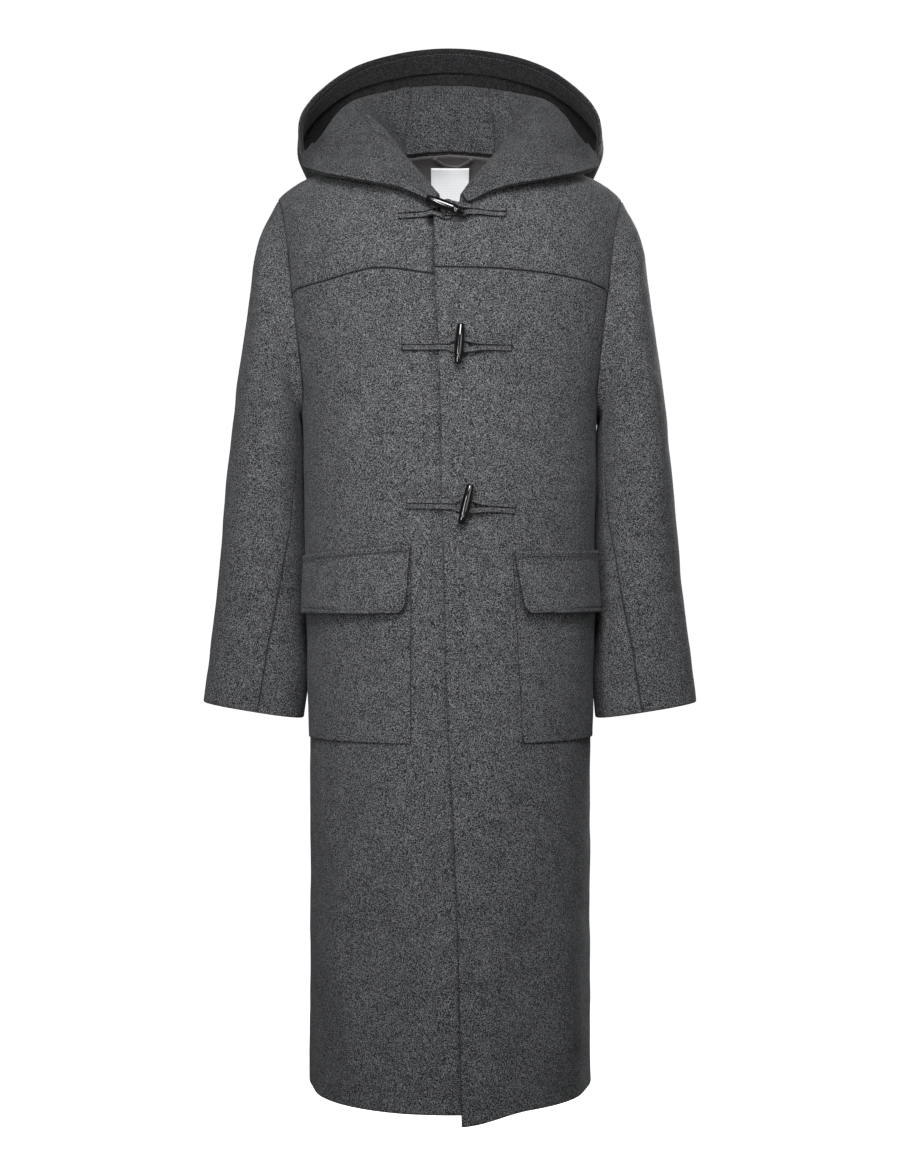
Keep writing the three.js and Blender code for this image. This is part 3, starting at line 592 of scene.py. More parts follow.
def node(tree: bpy.types.NodeTree, kind: str, settings: dict | None = None, inputs: dict | None = None,
         stops: Sequence[tuple[float, str]] = ()) -> bpy.types.Node:
    """Adds a node with its settings and links.

    Args:
        tree: The material's node tree.
        kind: The node's type name.
        settings: Attributes to set.
        inputs: Values or output sockets by input name or number.
        stops: Place and sRGB hex colour of each stop, for a node with a colour ramp.

    Returns:
        The node.
    """
    made = tree.nodes.new(kind)
    for name, value in (settings or {}).items():
        setattr(made, name, value)
    feed(tree, made, inputs or {})
    for number, (place, colour) in enumerate(stops):
        held = made.color_ramp.elements
        stop = held[number] if number < 2 else held.new(place)
        stop.position, stop.color = place, linear(colour)
    return made


def fresh_material(name: str) -> tuple[bpy.types.Material, bpy.types.NodeTree, bpy.types.Node]:
    """Returns a new material with its tree and its shader node."""
    material = bpy.data.materials.new(name)
    material.use_nodes = True
    tree = material.node_tree
    return material, tree, tree.nodes["Principled BSDF"]


@dataclass(frozen=True)
class MelangeWool:
    """Brushed and fulled melange wool coating: dark and pale fibres carded together.

    Fulling hides the weave, so the eye sees a matt salt-and-pepper face with short loose fibres.
    Painted shade darkens the colour towards an almost black shade colour at seams, edges, stitch rows and other
    places where shade falls.
    Single fibres are far thinner than a pixel, so the specks are drawn as the clumps that show.
    """

    dark: str = "#131314"
    middle: str = "#313234"
    pale: str = "#6c6d6f"
    # Near-black colour of the painted shade in seams, edges, stitch rows and the hood's inside.
    shade_colour: str = "#0b0b0c"
    speck: float = 1.0
    fibre_width: float = 0.7
    fibre_length: float = 2.8
    clump: float = 6.0
    patch: float = 21.0
    relief: float = 0.4
    grain_start: float = -0.1
    speck_weight: float = 1.0
    fibre_weight: float = 0.3
    clump_weight: float = 0.06
    patch_weight: float = 0.06
    grain_low: float = 0.579
    grain_high: float = 0.727

    FIBRE_TURNS = ((0.3, 0.9, 0.6), (1.1, -0.5, 2.3), (-0.8, 0.2, 4.0))

    def grain(self, tree: bpy.types.NodeTree, place: bpy.types.NodeSocket) -> bpy.types.NodeSocket:
        """Returns the specks, lying fibres, clumps and patches added up by their weights."""
        size = (self.fibre_width, self.fibre_length, self.fibre_width)
        longest = 0.0
        for turn in self.FIBRE_TURNS:
            drawn = node(tree, "ShaderNodeMapping", {"vector_type": "TEXTURE"},
                         {"Vector": place, "Rotation": turn, "Scale": size})
            lying = node(tree, "ShaderNodeTexNoise", {},
                         {"Vector": drawn.outputs[0], "Scale": per_metre(1.0), "Detail": 1.0})
            higher = node(tree, "ShaderNodeMath", {"operation": "MAXIMUM"},
                          {0: longest, 1: lying.outputs["Fac"]})
            longest = higher.outputs[0]
        specks, clumps, patches = (
            node(tree, "ShaderNodeTexNoise", {},
                 {"Vector": place, "Scale": per_metre(blot), "Detail": detail, "Roughness": 0.6})
            for blot, detail in ((self.speck, 1.0), (self.clump, 2.0), (self.patch, 1.0)))
        parts = (
            (specks.outputs["Fac"], self.speck_weight),
            (longest, self.fibre_weight),
            (clumps.outputs["Fac"], self.clump_weight),
            (patches.outputs["Fac"], self.patch_weight),
        )
        total = self.grain_start
        for part, weight in parts:
            added = node(tree, "ShaderNodeMath", {"operation": "MULTIPLY_ADD"},
                         {0: part, 1: weight, 2: total})
            total = added.outputs[0]
        return total

    def build(self) -> bpy.types.Material:
        """Returns the material."""
        material, tree, shader = fresh_material("melange_wool")
        place = node(tree, "ShaderNodeTexCoord").outputs["Object"]
        grain = self.grain(tree, place)
        spread = node(tree, "ShaderNodeMapRange", {},
                      {"Value": grain, "From Min": self.grain_low, "From Max": self.grain_high})
        ramp = node(tree, "ShaderNodeValToRGB", {}, {"Fac": spread.outputs[0]},
                    [(0.05, self.dark), (0.95, self.pale), (0.5, self.middle)])
        # Painted shade: the per-corner attribute mixes the grain's colour towards the shade colour.
        painted_shade = node(tree, "ShaderNodeAttribute", {"attribute_name": PAINTED_SHADE})
        flat = node(tree, "ShaderNodeMix", {"data_type": "RGBA"},
                    {0: painted_shade.outputs["Fac"], 6: ramp.outputs["Color"], 7: linear(self.shade_colour)})
        bump = node(tree, "ShaderNodeBump", {},
                    {"Height": grain, "Strength": 0.55, "Distance": self.relief * METRES})
        feed(tree, shader, {
            "Base Color": flat.outputs[2], "Normal": bump.outputs["Normal"], "Roughness": 0.93,
            "Specular IOR Level": 0.22, "Sheen Weight": 0.09, "Sheen Roughness": 0.55,
            "Sheen Tint": linear("#c4c6c9")})
        return material


@dataclass(frozen=True)
class Satin:
    """Woven polyester satin lining: long floats lie side by side and give a soft streaked gloss."""

    colour: str = "#484445"
    sheen_colour: str = "#6b6768"
    thread: float = 0.9
    float_length: float = 14.0
    relief: float = 0.1

    def build(self) -> bpy.types.Material:
        """Returns the material. Its threads are drawn at about four times their real width."""
        material, tree, shader = fresh_material("satin_lining")
        place = node(tree, "ShaderNodeTexCoord").outputs["Object"]
        size = (self.thread, self.thread, self.thread * self.float_length)
        drawn = node(tree, "ShaderNodeMapping", {"vector_type": "TEXTURE"},
                     {"Vector": place, "Scale": size})
        threads = node(tree, "ShaderNodeTexNoise", {},
                       {"Vector": drawn.outputs[0], "Scale": per_metre(1.0), "Detail": 1.0})
        ramp = node(tree, "ShaderNodeValToRGB", {}, {"Fac": threads.outputs["Fac"]},
                    [(0.3, self.colour), (0.85, self.sheen_colour)])
        bump = node(tree, "ShaderNodeBump", {},
                    {"Height": threads.outputs["Fac"], "Strength": 0.25, "Distance": self.relief * METRES})
        feed(tree, shader, {
            "Base Color": ramp.outputs["Color"], "Normal": bump.outputs["Normal"], "Roughness": 0.42,
            "Specular IOR Level": 0.45, "Sheen Weight": 0.15})
        return material


@dataclass(frozen=True)
class LabelTaffeta:
    """Woven taffeta label: fine crossed threads, off-white and almost matt, with nothing on it."""

    colour: str = "#fafafb"
    shade: str = "#eff0f2"
    thread: float = 0.5
    wave_units: float = 20.0
    relief: float = 0.12

    def build(self) -> bpy.types.Material:
        """Returns the material. Its threads are drawn at about three times their real width."""
        material, tree, shader = fresh_material("label_taffeta")
        place = node(tree, "ShaderNodeTexCoord").outputs["Object"]
        waves = [node(tree, "ShaderNodeTexWave", {"bands_direction": way, "wave_profile": "SIN"},
                      {"Vector": place, "Distortion": 0.4,
                       "Scale": per_metre(self.thread) / self.wave_units})
                 for way in ("X", "Z")]
        cross = node(tree, "ShaderNodeMath", {"operation": "MULTIPLY"},
                     {0: waves[0].outputs["Fac"], 1: waves[1].outputs["Fac"]})
        blend = node(tree, "ShaderNodeMix", {"data_type": "RGBA"},
                     {0: cross.outputs[0], 6: linear(self.shade), 7: linear(self.colour)})
        bump = node(tree, "ShaderNodeBump", {},
                    {"Height": cross.outputs[0], "Strength": 0.3, "Distance": self.relief * METRES})
        feed(tree, shader, {
            "Base Color": blend.outputs[2], "Normal": bump.outputs["Normal"], "Roughness": 0.66})
        return material


@dataclass(frozen=True)
class PolishedHorn:
    """Cast polyester made to look like polished black horn: glossy, with faint brown streaks."""

    colour: str = "#070708"
    streak: str = "#14110f"
    streak_width: float = 2.2
    streak_length: float = 9.0

    def build(self) -> bpy.types.Material:
        """Returns the material."""
        material, tree, shader = fresh_material("polished_horn")
        place = node(tree, "ShaderNodeTexCoord").outputs["Object"]
        width = self.streak_width
        drawn = node(tree, "ShaderNodeMapping", {"vector_type": "TEXTURE"},
                     {"Vector": place, "Scale": (width, width, width * self.streak_length)})
        streaks = node(tree, "ShaderNodeTexNoise", {},
                       {"Vector": drawn.outputs[0], "Scale": per_metre(1.0), "Detail": 3.0})
        ramp = node(tree, "ShaderNodeValToRGB", {}, {"Fac": streaks.outputs["Fac"]},
                    [(0.45, self.colour), (0.8, self.streak)])
        rough = node(tree, "ShaderNodeMapRange", {},
                     {"Value": streaks.outputs["Fac"], "To Min": 0.1, "To Max": 0.18})
        feed(tree, shader, {
            "Base Color": ramp.outputs["Color"], "Roughness": rough.outputs[0], "IOR": 1.54,
            "Coat Weight": 0.25, "Coat Roughness": 0.08})
        return material


@dataclass(frozen=True)
class SewingThread:
    """Spun polyester sewing thread: twisted plies with a low lustre, dyed to match the wool."""

    colour: str = "#55565a"
    shade: str = "#3a3b3e"
    twist: float = 0.6

    def build(self) -> bpy.types.Material:
        """Returns the material."""
        material, tree, shader = fresh_material("sewing_thread")
        place = node(tree, "ShaderNodeTexCoord").outputs["Object"]
        plies = node(tree, "ShaderNodeTexNoise", {}, {"Vector": place, "Scale": per_metre(self.twist)})
        ramp = node(tree, "ShaderNodeValToRGB", {}, {"Fac": plies.outputs["Fac"]},
                    [(0.0, self.shade), (1.0, self.colour)])
        feed(tree, shader, {"Base Color": ramp.outputs["Color"], "Roughness": 0.6})
        return material


@dataclass
class Finishes:
    """The coat's materials, made once."""

    wool: bpy.types.Material = field(default_factory=lambda: MelangeWool().build())
    satin: bpy.types.Material = field(default_factory=lambda: Satin().build())
    label: bpy.types.Material = field(default_factory=lambda: LabelTaffeta().build())
    horn: bpy.types.Material = field(default_factory=lambda: PolishedHorn().build())
    thread: bpy.types.Material = field(default_factory=lambda: SewingThread().build())


# Stitches.


def read_line(where: Array, run: Array, line: Array) -> Array:
    """Returns a line's values at the given distances along it."""
    return np.stack([np.interp(where, run, line[:, k]) for k in range(3)], -1)


@dataclass
class Stitching:
    """Collects rows of stitches and makes one mesh of them."""

    name: str
    length: float = 3.3
    pitch: float = 4.4
    thread: float = 0.55
    rings: list[Array] = field(default_factory=list)

    # Along the stitch, thickness and height over the cloth, as shares of the length and the thread.
    PROFILE = (
        (-0.5, 0.35, -0.35), (-0.32, 1.0, 0.15), (0.0, 1.0, 0.4), (0.32, 1.0, 0.15), (0.5, 0.35, -0.35))
    SIDES = 5

    def row(self, path: Array, outward: Array) -> None:
        """Adds a row of stitches.

        Args:
            path: Points along the row, on the cloth's face.
            outward: Normals there.
        """
        run = np.concatenate([[0.0], np.cumsum(np.linalg.norm(np.diff(path, axis=0), axis=1))])
        if run[-1] < self.pitch:
            return
        centres = np.arange(self.pitch / 2, run[-1], self.pitch)
        middle = read_line(centres, run, path)
        up = unit(read_line(centres, run, outward))
        along = unit(read_line(centres + 0.5, run, path) - read_line(centres - 0.5, run, path))
        across = unit(np.cross(along, up))
        turn = np.arange(self.SIDES) / self.SIDES * 2 * math.pi
        for point, way, side, rise in zip(middle, along, across, up):
            self.rings.append(np.stack([
                point + way * self.length * share + rise * self.thread * lift
                + (side[None] * np.cos(turn)[:, None] + rise[None] * np.sin(turn)[:, None])
                * self.thread / 2 * size
                for share, size, lift in self.PROFILE]))

    def build(self, material: bpy.types.Material) -> bpy.types.Object:
        """Returns the joined stitches as one piece."""
        corners: list[Array] = []
        faces: list[tuple[int, ...]] = []
        for number, rings in enumerate(self.rings):
            points, skin = tube_mesh(rings)
            start = number * len(points)
            faces.extend(tuple(corner + start for corner in face) for face in skin)
            corners.append(points)
        made = mesh_object(self.name, np.concatenate(corners), faces, material)
        return sew(made)


# The coat's body.

BODY_CREASES = (
    Crease((-86, -770), (-142, -1000), 14, 4.6, bow=-10),
    Crease((-118, -925), (-104, -1096), 15, 4.0),
    Crease((-60, -820), (-90, -1090), 22, -4.0),
    Crease((-146, -735), (-128, -835), 9, 2.2),
    Crease((20, -735), (60, -800), 10, 2.0, bow=4),
    Crease((70, -880), (92, -1090), 24, -4.0),
    Crease((120, -860), (138, -1080), 20, 3.2),
    Crease((10, -97), (32, -124), 3.4, -3.2),
    Crease((16, -112), (54, -142), 7, -1.4),
    Crease((22, -92), (58, -122), 6, 1.4),
    Crease((-32, -100), (-60, -150), 9, -1.2),
    Crease((26, -430), (60, -470), 9, -0.7),
    Crease((-150, -150), (-176, -250), 11, 1.6, bow=4),
    Crease((150, -150), (177, -245), 10, 1.8, bow=-4),
    Crease((60, -60), (60, -330), 20, -2.2, facing=1, bow=8),
    Crease((-74, -90), (-52, -380), 22, -2.4, facing=1, bow=-8),
    Crease((12, -520), (-8, -1080), 19, 3.0, facing=1),
    Crease((96, -560), (118, -1080), 20, -3.0, facing=1, bow=8),
    Crease((-88, -600), (-120, -1080), 22, 3.2, facing=1, bow=-8),
    Crease((130, -300), (60, -360), 12, -1.6, facing=1),
    Crease((-132, -310), (-50, -350), 12, -1.8, facing=1),
)


# Lowest and highest level at which a normal can be found by steps to both sides, and those steps: an
# angle in degrees and a level, on the plain form and on a creased panel.
LEVEL_ENDS = (0.004, 1.97)
FORM_STEPS = (0.4, 0.003)
PANEL_STEPS = (0.6, 0.002)


@dataclass
class BodyForm:
    """The body's form without seams, from rings up to the chest and a rounded shoulder above it."""

    hem_z: float = -1098.0
    armpit_z: float = -318.0
    chest_z: float = -175.0
    shoulder_half: float = 203.0
    chest_half: float = 196.0
    chest_front: float = 130.0
    chest_back: float = 118.0
    neck_angle: float = 17.6
    chest_square: float = 2.4
    ridge_level: float = 1.93
    rings: Table = field(default_factory=lambda: Table("z half front back square", [
        (-1098, 165, 162, 150, 2.05), (-900, 163.5, 157, 144, 2.1), (-700, 163.5, 150, 137, 2.2),
        (-600, 165, 146, 133, 2.25), (-540, 166.5, 144, 130, 2.3), (-480, 168.5, 142, 127, 2.35),
        (-400, 170.5, 140, 124, 2.4), (-318, 172, 137, 121, 2.4), (-250, 183, 134, 119, 2.4),
        (-175, 196, 130, 118, 2.4)]))
    shoulder: Table = field(default_factory=lambda: Table("t rise front back", [
        (0, 0, 1, 1), (1 / 6, 0.25, 0.965, 0.985), (2 / 6, 0.5, 0.86, 0.93), (3 / 6, 0.7, 0.71, 0.83),
        (4 / 6, 0.86, 0.5, 0.66), (5 / 6, 0.96, 0.27, 0.4), (1, 1, 0, 0)]))
    ridge: Table = field(default_factory=lambda: Table("x z", [
        (0, 22), (40, 15), (78, -1), (120, -17), (166, -35.5), (182, -44), (195, -53), (203, -61)]))
    folds: Table = field(default_factory=lambda: Table("side angle spread depth top", [
        (1, 118, 13, 5, -420), (1, 147, 12, -5, -330), (-1, 112, 12, 5, -470), (-1, 141, 13, -6, -300),
        (1, 176, 14, 5, -520), (-1, 78, 10, -3, -720), (1, 74, 11, -3, -760)]))
    neckline: Table = field(default_factory=lambda: Table("round angle level", [
        (0, 0, 1.29), (30, 6.5, 1.36), (60, 13.5, 1.58), (80, 17, 1.84), (90, 17.6, 2),
        (105, 16.5, 1.95), (140, 10.5, 1.83), (180, 0, 1.79)]))
    armhole_rows: Sequence[tuple[float, float, float]] = (
        (-318, 90, 90), (-307, 79, 80), (-290, 72, 74), (-240, 68, 70), (-175, 65.5, 68))
    shoulder_rows: Sequence[tuple[float, float, float]] = ((1.5, 72, 73), (1.8, 79, 79.5), (2, 86, 86))

    def __post_init__(self) -> None:
        """Works out the armhole's table in levels."""
        rows = [(float(self.level_of(z)), front, back) for z, front, back in self.armhole_rows]
        self.armhole = Table("level front back", [*rows, *self.shoulder_rows])
        self.armpit_level = float(self.level_of(self.armpit_z))

    def level_of(self, z: Array) -> Array:
        """Returns the level, 0 at the hem and 1 at the chest, of a height."""
        return (np.asarray(z, float) - self.hem_z) / (self.chest_z - self.hem_z)

    def point(self, side: Array, angle: Array, level: Array) -> Array:
        """Finds points on the body's middle surface.

        Args:
            side: 1 for the wearer's left and -1 for the right.
            angle: From the front (0) over the side (90) to the back (180), in degrees.
            level: From the hem (0) over the chest (1) to the shoulder seam (2).

        Returns:
            The points.
        """
        side, angle, level = np.broadcast_arrays(*(np.asarray(a, float) for a in (side, angle, level)))
        back = np.abs(angle) > 90
        sine, cosine = np.sin(np.radians(angle)), np.cos(np.radians(angle))
        low_z = mix(self.hem_z, self.chest_z, np.minimum(level, 1))
        t = np.clip(level - 1, 0, 1)
        above = level > 1
        power = 2 / np.where(above, self.chest_square, self.rings.at("square", low_z))
        rise = self.shoulder.at("rise", t)
        half = np.where(above, mix(self.chest_half, self.shoulder_half, rise), self.rings.at("half", low_z))
        low_depth = np.where(back, self.rings.at("back", low_z), self.rings.at("front", low_z))
        high_depth = np.where(back, self.chest_back * self.shoulder.at("back", t),
                              self.chest_front * self.shoulder.at("front", t))
        depth = np.where(above, high_depth, low_depth)
        ridge = self.ridge.at("z", np.abs(self.shoulder_half * signed_power(sine, power)))
        z = np.where(above, mix(self.chest_z, ridge, rise), low_z)
        swell = np.where(above, 1.0, 1 + self.fold_at(side, angle, low_z) / half)
        return np.stack([side * half * signed_power(sine, power) * swell,
                         -depth * signed_power(cosine, power) * swell, z], -1)

    def fold_at(self, side: Array, angle: Array, z: Array) -> Array:
        """Returns how far the lengthwise folds push the cloth out."""
        out = np.zeros(np.shape(z))
        for fold_side, fold_angle, spread, depth, top in self.folds.rows:
            off = (angle * side - fold_angle * fold_side) / spread
            out = out + depth * smooth((top - z) / (top - self.hem_z)) * np.exp(-off * off)
        return out

    def outward(self, side: Array, angle: Array, level: Array) -> Array:
        """Returns the unit normals that point out of the body."""
        held = np.clip(level, *LEVEL_ENDS)
        surface = lambda a, l: self.point(side, a, l)
        sign = np.broadcast_to(np.asarray(side, float), np.shape(held))[..., None]
        plain = normals_of(surface, angle, held, *FORM_STEPS, 1.0) * sign
        top, step = np.full(np.shape(level), 2.0), FORM_STEPS[0]
        along = unit(self.point(side, angle + step, top) - self.point(side, angle - step, top))
        ridge = unit(np.cross(along, np.array([0.0, 1.0, 0.0])))
        ridge = ridge * np.where(ridge[..., 2:] < 0, -1.0, 1.0)
        near = smooth((level - self.ridge_level) / (2 - self.ridge_level))[..., None]
        return unit(mix(plain, ridge, near))

    def angle_at(self, x: Array, level: Array) -> Array:
        """Returns the angle at which the body has this distance from the middle."""
        z = mix(self.hem_z, self.chest_z, np.minimum(level, 1))
        rise = self.shoulder.at("rise", np.clip(level - 1, 0, 1))
        above = mix(self.chest_half, self.shoulder_half, rise)
        half = np.where(level <= 1, self.rings.at("half", z), above)
        square = self.rings.at("square", z)
        return np.degrees(np.arcsin(np.clip(signed_power(x / half, square / 2), -1, 1)))

    def armhole_angle(self, level: Array, part: str) -> Array:
        """Returns the angle of the armhole or side seam at each level."""
        return np.where(level <= self.armpit_level, 90.0, self.armhole.at(part, np.minimum(level, 2)))

    def neckline_level(self, angle: Array, back: bool) -> Array:
        """Returns the neckline's level at each angle, in front or behind."""
        rows = self.neckline.rows
        rows = rows[rows[:, 0] >= 90] if back else rows[rows[:, 0] <= 90]
        order = rows[np.argsort(rows[:, 1])]
        table = Table("angle level", order[:, 1:])
        return np.clip(table.at("level", np.abs(angle)), 1, 2)

    def level_at(self, x: Array, z: Array, back: bool = False) -> Array:
        """Finds the level at a height.

        Args:
            x: Distance from the middle.
            z: Height.
            back: Whether it lies on the back.

        Returns:
            The level at which the body passes each height.
        """
        low, high = np.ones(np.shape(z)), np.full(np.shape(z), 2.0)
        for _ in range(30):
            middle = (low + high) / 2
            angle = self.angle_at(np.abs(x), middle)
            reached = self.point(1.0, 180 - angle if back else angle, middle)[..., 2]
            low = np.where(reached < z, middle, low)
            high = np.where(reached < z, high, middle)
        return np.where(z <= self.chest_z, self.level_of(z), low)


@dataclass
class CoatBody:
    """Fronts, yokes and back, with the overlap of the fronts."""

    form: BodyForm
    finishes: Finishes
    cell: float = 4.6
    overlap_lift: float = 1.85
    lip_rise: float = 0.9
    lip_width: float = 9.0
    # Painted shade on the right front: a wedge of shade in the gap between the fronts at the neck, and a shadow
    # line under the left front's edge.
    wedge_width: float = 8.0
    wedge_z: float = -128.0
    wedge_height: float = 26.0
    shade_past: float = 0.8
    line_shade: float = 0.8
    shade_line_width: float = 4.0
    overlap_fade: float = 50.0
    underlap_x: float = -42.0
    left_lift_end: float = 46.0
    right_lift_end: float = 20.0
    corner_drop: float = 12.0
    corner_fade: float = 75.0
    corner_top: float = 0.3
    overlap_dip: float = 0.05
    neck_corner: float = 4 / 13
    armpit_row: float = 15 / 22
    edge_rise: float = 12.0
    front_edge: Table = field(default_factory=lambda: Table("z x", [
        (-1098, 12.5), (-912, 8.2), (-770, 2.8), (-670, -2.8), (-540, -6.1), (-412, -9.4),
        (-246, -13.3), (-158, -18), (-60, -17.5)]))
    yokes: dict[int, Table] = field(default_factory=lambda: {
        1: Table("across level", [(0, 1.055), (0.4, 1.05), (0.7, 1.03), (1, 0.995)]),
        -1: Table("across level", [
            (0, 1.0), (0.124, 1.03), (0.31, 1.065), (0.457, 1.05), (0.7, 1.015), (1, 0.995)])})
    stitches: Stitching = field(default_factory=lambda: Stitching("edge_stitches"))

    NAMES = {1: "left", -1: "right"}
    FRONT_WIDTH, FRONT_LENGTH, YOKE_LENGTH = 262.0, 975.0, 190.0
    BACK_WIDTH, BACK_LENGTH = 460.0, 1130.0

    def edge_x(self, side: int, level: Array) -> Array:
        """Returns where a front's edge lies across the body."""
        z = np.where(level <= 1, mix(self.form.hem_z, self.form.chest_z, level),
                     mix(self.form.chest_z, -60.0, level - 1))
        return self.front_edge.at("x", z) if side > 0 else np.full(np.shape(z), self.underlap_x)

    def lift_at(self, side: int, x: Array) -> Array:
        """Returns how far a front stands off the body where the fronts lie on each other."""
        start = self.left_lift_end if side > 0 else self.right_lift_end
        return side * self.overlap_lift * (1 - smooth((x * side - start) / self.overlap_fade))

    def front_point(self, side: int, angle: Array, level: Array) -> Array:
        """Returns points of a front or yoke, with its overlap, creases and soft unevenness."""
        plain = self.form.point(side, angle, level)
        outward = self.form.outward(side, angle, level)
        lift = self.lift_at(side, plain[..., 0]) + creased(plain, outward, BODY_CREASES) + unevenness(plain)
        if side > 0:
            inward = plain[..., 0] - self.edge_x(1, level)
            lift = lift + self.lip_rise * np.exp(-((inward / self.lip_width) ** 2))
        points = plain + outward * lift[..., None]
        if side > 0:
            near = 1 - smooth((plain[..., 0] - self.edge_x(1, level)) / self.corner_fade)
            points[..., 2] -= self.corner_drop * near * (1 - smooth(level / self.corner_top))
        return points

    def front_angle(self, side: int, across: Array, level: Array) -> Array:
        """Returns the angle across a front, from its edge over the neck side to the armhole."""
        corner = self.neck_corner
        edge = self.form.angle_at(self.edge_x(side, level), level)
        outer = self.form.armhole_angle(level, "front")
        neck = mix(self.form.neck_angle + 3, self.form.neck_angle, np.clip(level - 1, 0, 1))
        return np.where(across <= corner, mix(edge, neck, across / corner),
                        mix(neck, outer, (across - corner) / (1 - corner)))

    def on_front(self, side: int, x: Array, z: Array, lift: float = 0.0) -> tuple[Array, Array]:
        """Finds a place on a front.

        Args:
            side: Which front.
            x: Distance from the middle, towards the wearer's left.
            z: Height.
            lift: Distance off the cloth's middle surface.

        Returns:
            The points and the normals.
        """
        x, z = np.broadcast_arrays(np.asarray(x, float), np.asarray(z, float))
        level = self.form.level_at(x, z)
        angle = self.form.angle_at(x * side, level)
        surface = lambda a, l: self.front_point(side, a, l)
        outward = normals_of(surface, angle, np.clip(level, *LEVEL_ENDS), *PANEL_STEPS, side)
        return surface(angle, level) + outward * np.asarray(lift)[..., None], outward

    def over_fronts(self, x: Array, z: Array, lift: Array) -> tuple[Array, Array]:
        """Finds a place on whichever front lies on top, with a smooth step at the edge.

        Args:
            x: Distance from the middle.
            z: Height.
            lift: Distance off the cloth's middle surface.

        Returns:
            The points and the normals.
        """
        level = self.form.level_at(x, z)
        edge = self.edge_x(1, level)
        upper, upper_out = self.on_front(1, x, z, lift)
        lower, lower_out = self.on_front(-1, x, z, lift)
        near = smooth((x - edge + self.edge_rise) / self.edge_rise)[..., None]
        return mix(lower, upper, near), unit(mix(lower_out, upper_out, near))

    def grid(self, rows: Array, columns: Array, surface: Surface, sign: float) -> tuple[Array, Array]:
        """Samples a surface and its normals over shares up and across a panel."""
        up, across = np.meshgrid(rows, columns, indexing="ij")
        points = surface(across, up)
        return points, grid_normals(points, sign)

    def shade_under_edge(self, points: Array) -> Array:
        """Returns the painted shadow of the left front's edge on the right front, and painted shade in the gap
        between the fronts at the neck.
        """
        off = points[..., 0] - self.front_edge.at("x", points[..., 2]) + self.shade_past
        line = self.line_shade * smooth(off / self.shade_line_width + 0.1)
        open_width = self.wedge_width * np.clip((points[..., 2] - self.wedge_z) / self.wedge_height, 0, 1)
        wedge = smooth((off + open_width) / 2) * smooth(open_width)
        return np.maximum(line, wedge)

    def build_front(self, side: int) -> None:
        """Builds one front below its yoke, with its facing and hem."""
        seam = self.yokes[side]

        def surface(across: Array, up: Array) -> Array:
            top = seam.at("level", across)
            share = (up - self.armpit_row) / (1 - self.armpit_row)
            level = np.where(up <= self.armpit_row, self.form.armpit_level * up / self.armpit_row,
                             mix(self.form.armpit_level, top, share))
            return self.front_point(side, self.front_angle(side, across, level), level)

        edges = (Finish.TURNED, Finish.SEAM, Finish.TURNED, Finish.SEAM)
        rows = spaced(self.FRONT_LENGTH, self.cell, edges[2], edges[3])
        columns = spaced(self.FRONT_WIDTH, self.cell, edges[0], edges[1])
        self.hang_front("front", side, self.grid(rows, columns, surface, side), edges,
                        edge_shades=(1.0, 0.45, 0.6, 1.0))

    def hang_front(self, part: str, side: int, grid: tuple[Array, Array],
                   edges: tuple[Finish, Finish, Finish, Finish], edge_shades: tuple[float, float, float, float]) -> None:
        """Makes a front or a yoke of its grid.

        Args:
            part: "front" or "yoke".
            side: Which front.
            grid: The points and the normals.
            edges: How its edges are made.
            edge_shades: Strength of the painted shade line at each edge.
        """
        name = f"{part}_{self.NAMES[side]}"
        points, outward = grid
        # The right front gets the painted shadow of the left front's edge.
        shade = self.shade_under_edge(points) if side < 0 else None
        cloth = Cloth(f"{name}_cloth", points, outward, edges, edge_half=2.1, edge_shades=edge_shades, shade=shade)
        hang(cloth, self.finishes.wool, [name])

    def build_yoke(self, side: int) -> None:
        """Builds one yoke from the seam under it to the neckline and the shoulder."""
        seam = self.yokes[side]

        def surface(across: Array, up: Array) -> Array:
            top_angle = self.front_angle(side, across, np.full(np.shape(across), 2.0))
            dip = np.where(top_angle < 0, self.overlap_dip * np.minimum(1, -top_angle / 2), 0)
            neck = self.form.neckline_level(top_angle, False) - dip
            top = np.where(across < self.neck_corner - 1e-6, neck, 2.0)
            level = mix(seam.at("level", across), top, up)
            return self.front_point(side, self.front_angle(side, across, level), level)

        edges = (Finish.TURNED, Finish.SEAM, Finish.SEAM, Finish.SEAM)
        columns = spaced(self.FRONT_WIDTH, self.cell, edges[0], edges[1])
        columns = np.sort(np.concatenate([columns, [self.neck_corner - 2e-6]]))
        rows = spaced(self.YOKE_LENGTH, self.cell * 0.8, edges[2], edges[3])
        self.hang_front("yoke", side, self.grid(rows, columns, surface, side), edges,
                        edge_shades=(1.0, 0.45, 1.0, 0.6))

    def back_point(self, side: Array, angle: Array, level: Array) -> Array:
        """Returns points of the back, with its creases and soft unevenness."""
        plain = self.form.point(side, angle, level)
        outward = self.form.outward(side, angle, level)
        lift = creased(plain, outward, BODY_CREASES) + unevenness(plain)
        return plain + outward * lift[..., None]

    def inside_back(self, x: Array, z: Array, depth: Array) -> tuple[Array, Array]:
        """Finds a place inside the back.

        Args:
            x: Distance from the middle.
            z: Height.
            depth: Distance in from the cloth's middle surface.

        Returns:
            The points and the normals that point into the coat.
        """
        x, z = np.broadcast_arrays(np.asarray(x, float), np.asarray(z, float))
        level = self.form.level_at(x, z, back=True)
        side = np.where(x < 0, -1.0, 1.0)
        angle = 180 - self.form.angle_at(np.abs(x), level)
        outward = self.form.outward(side, angle, level)
        return self.form.point(side, angle, level) - outward * np.asarray(depth)[..., None], -outward

    def build_back(self) -> None:
        """Builds the back in one piece, with a hem."""
        armpit_row, corner = 16 / 26, 0.2
        form = self.form

        def angle_of(across: Array, level: Array) -> Array:
            outer = form.armhole_angle(level, "back")
            neck = mix(form.neck_angle + 4, form.neck_angle, np.clip(level - 1, 0, 1))
            return np.where(across <= corner, mix(0.0, neck, across / corner),
                            mix(neck, outer, (across - corner) / (1 - corner)))

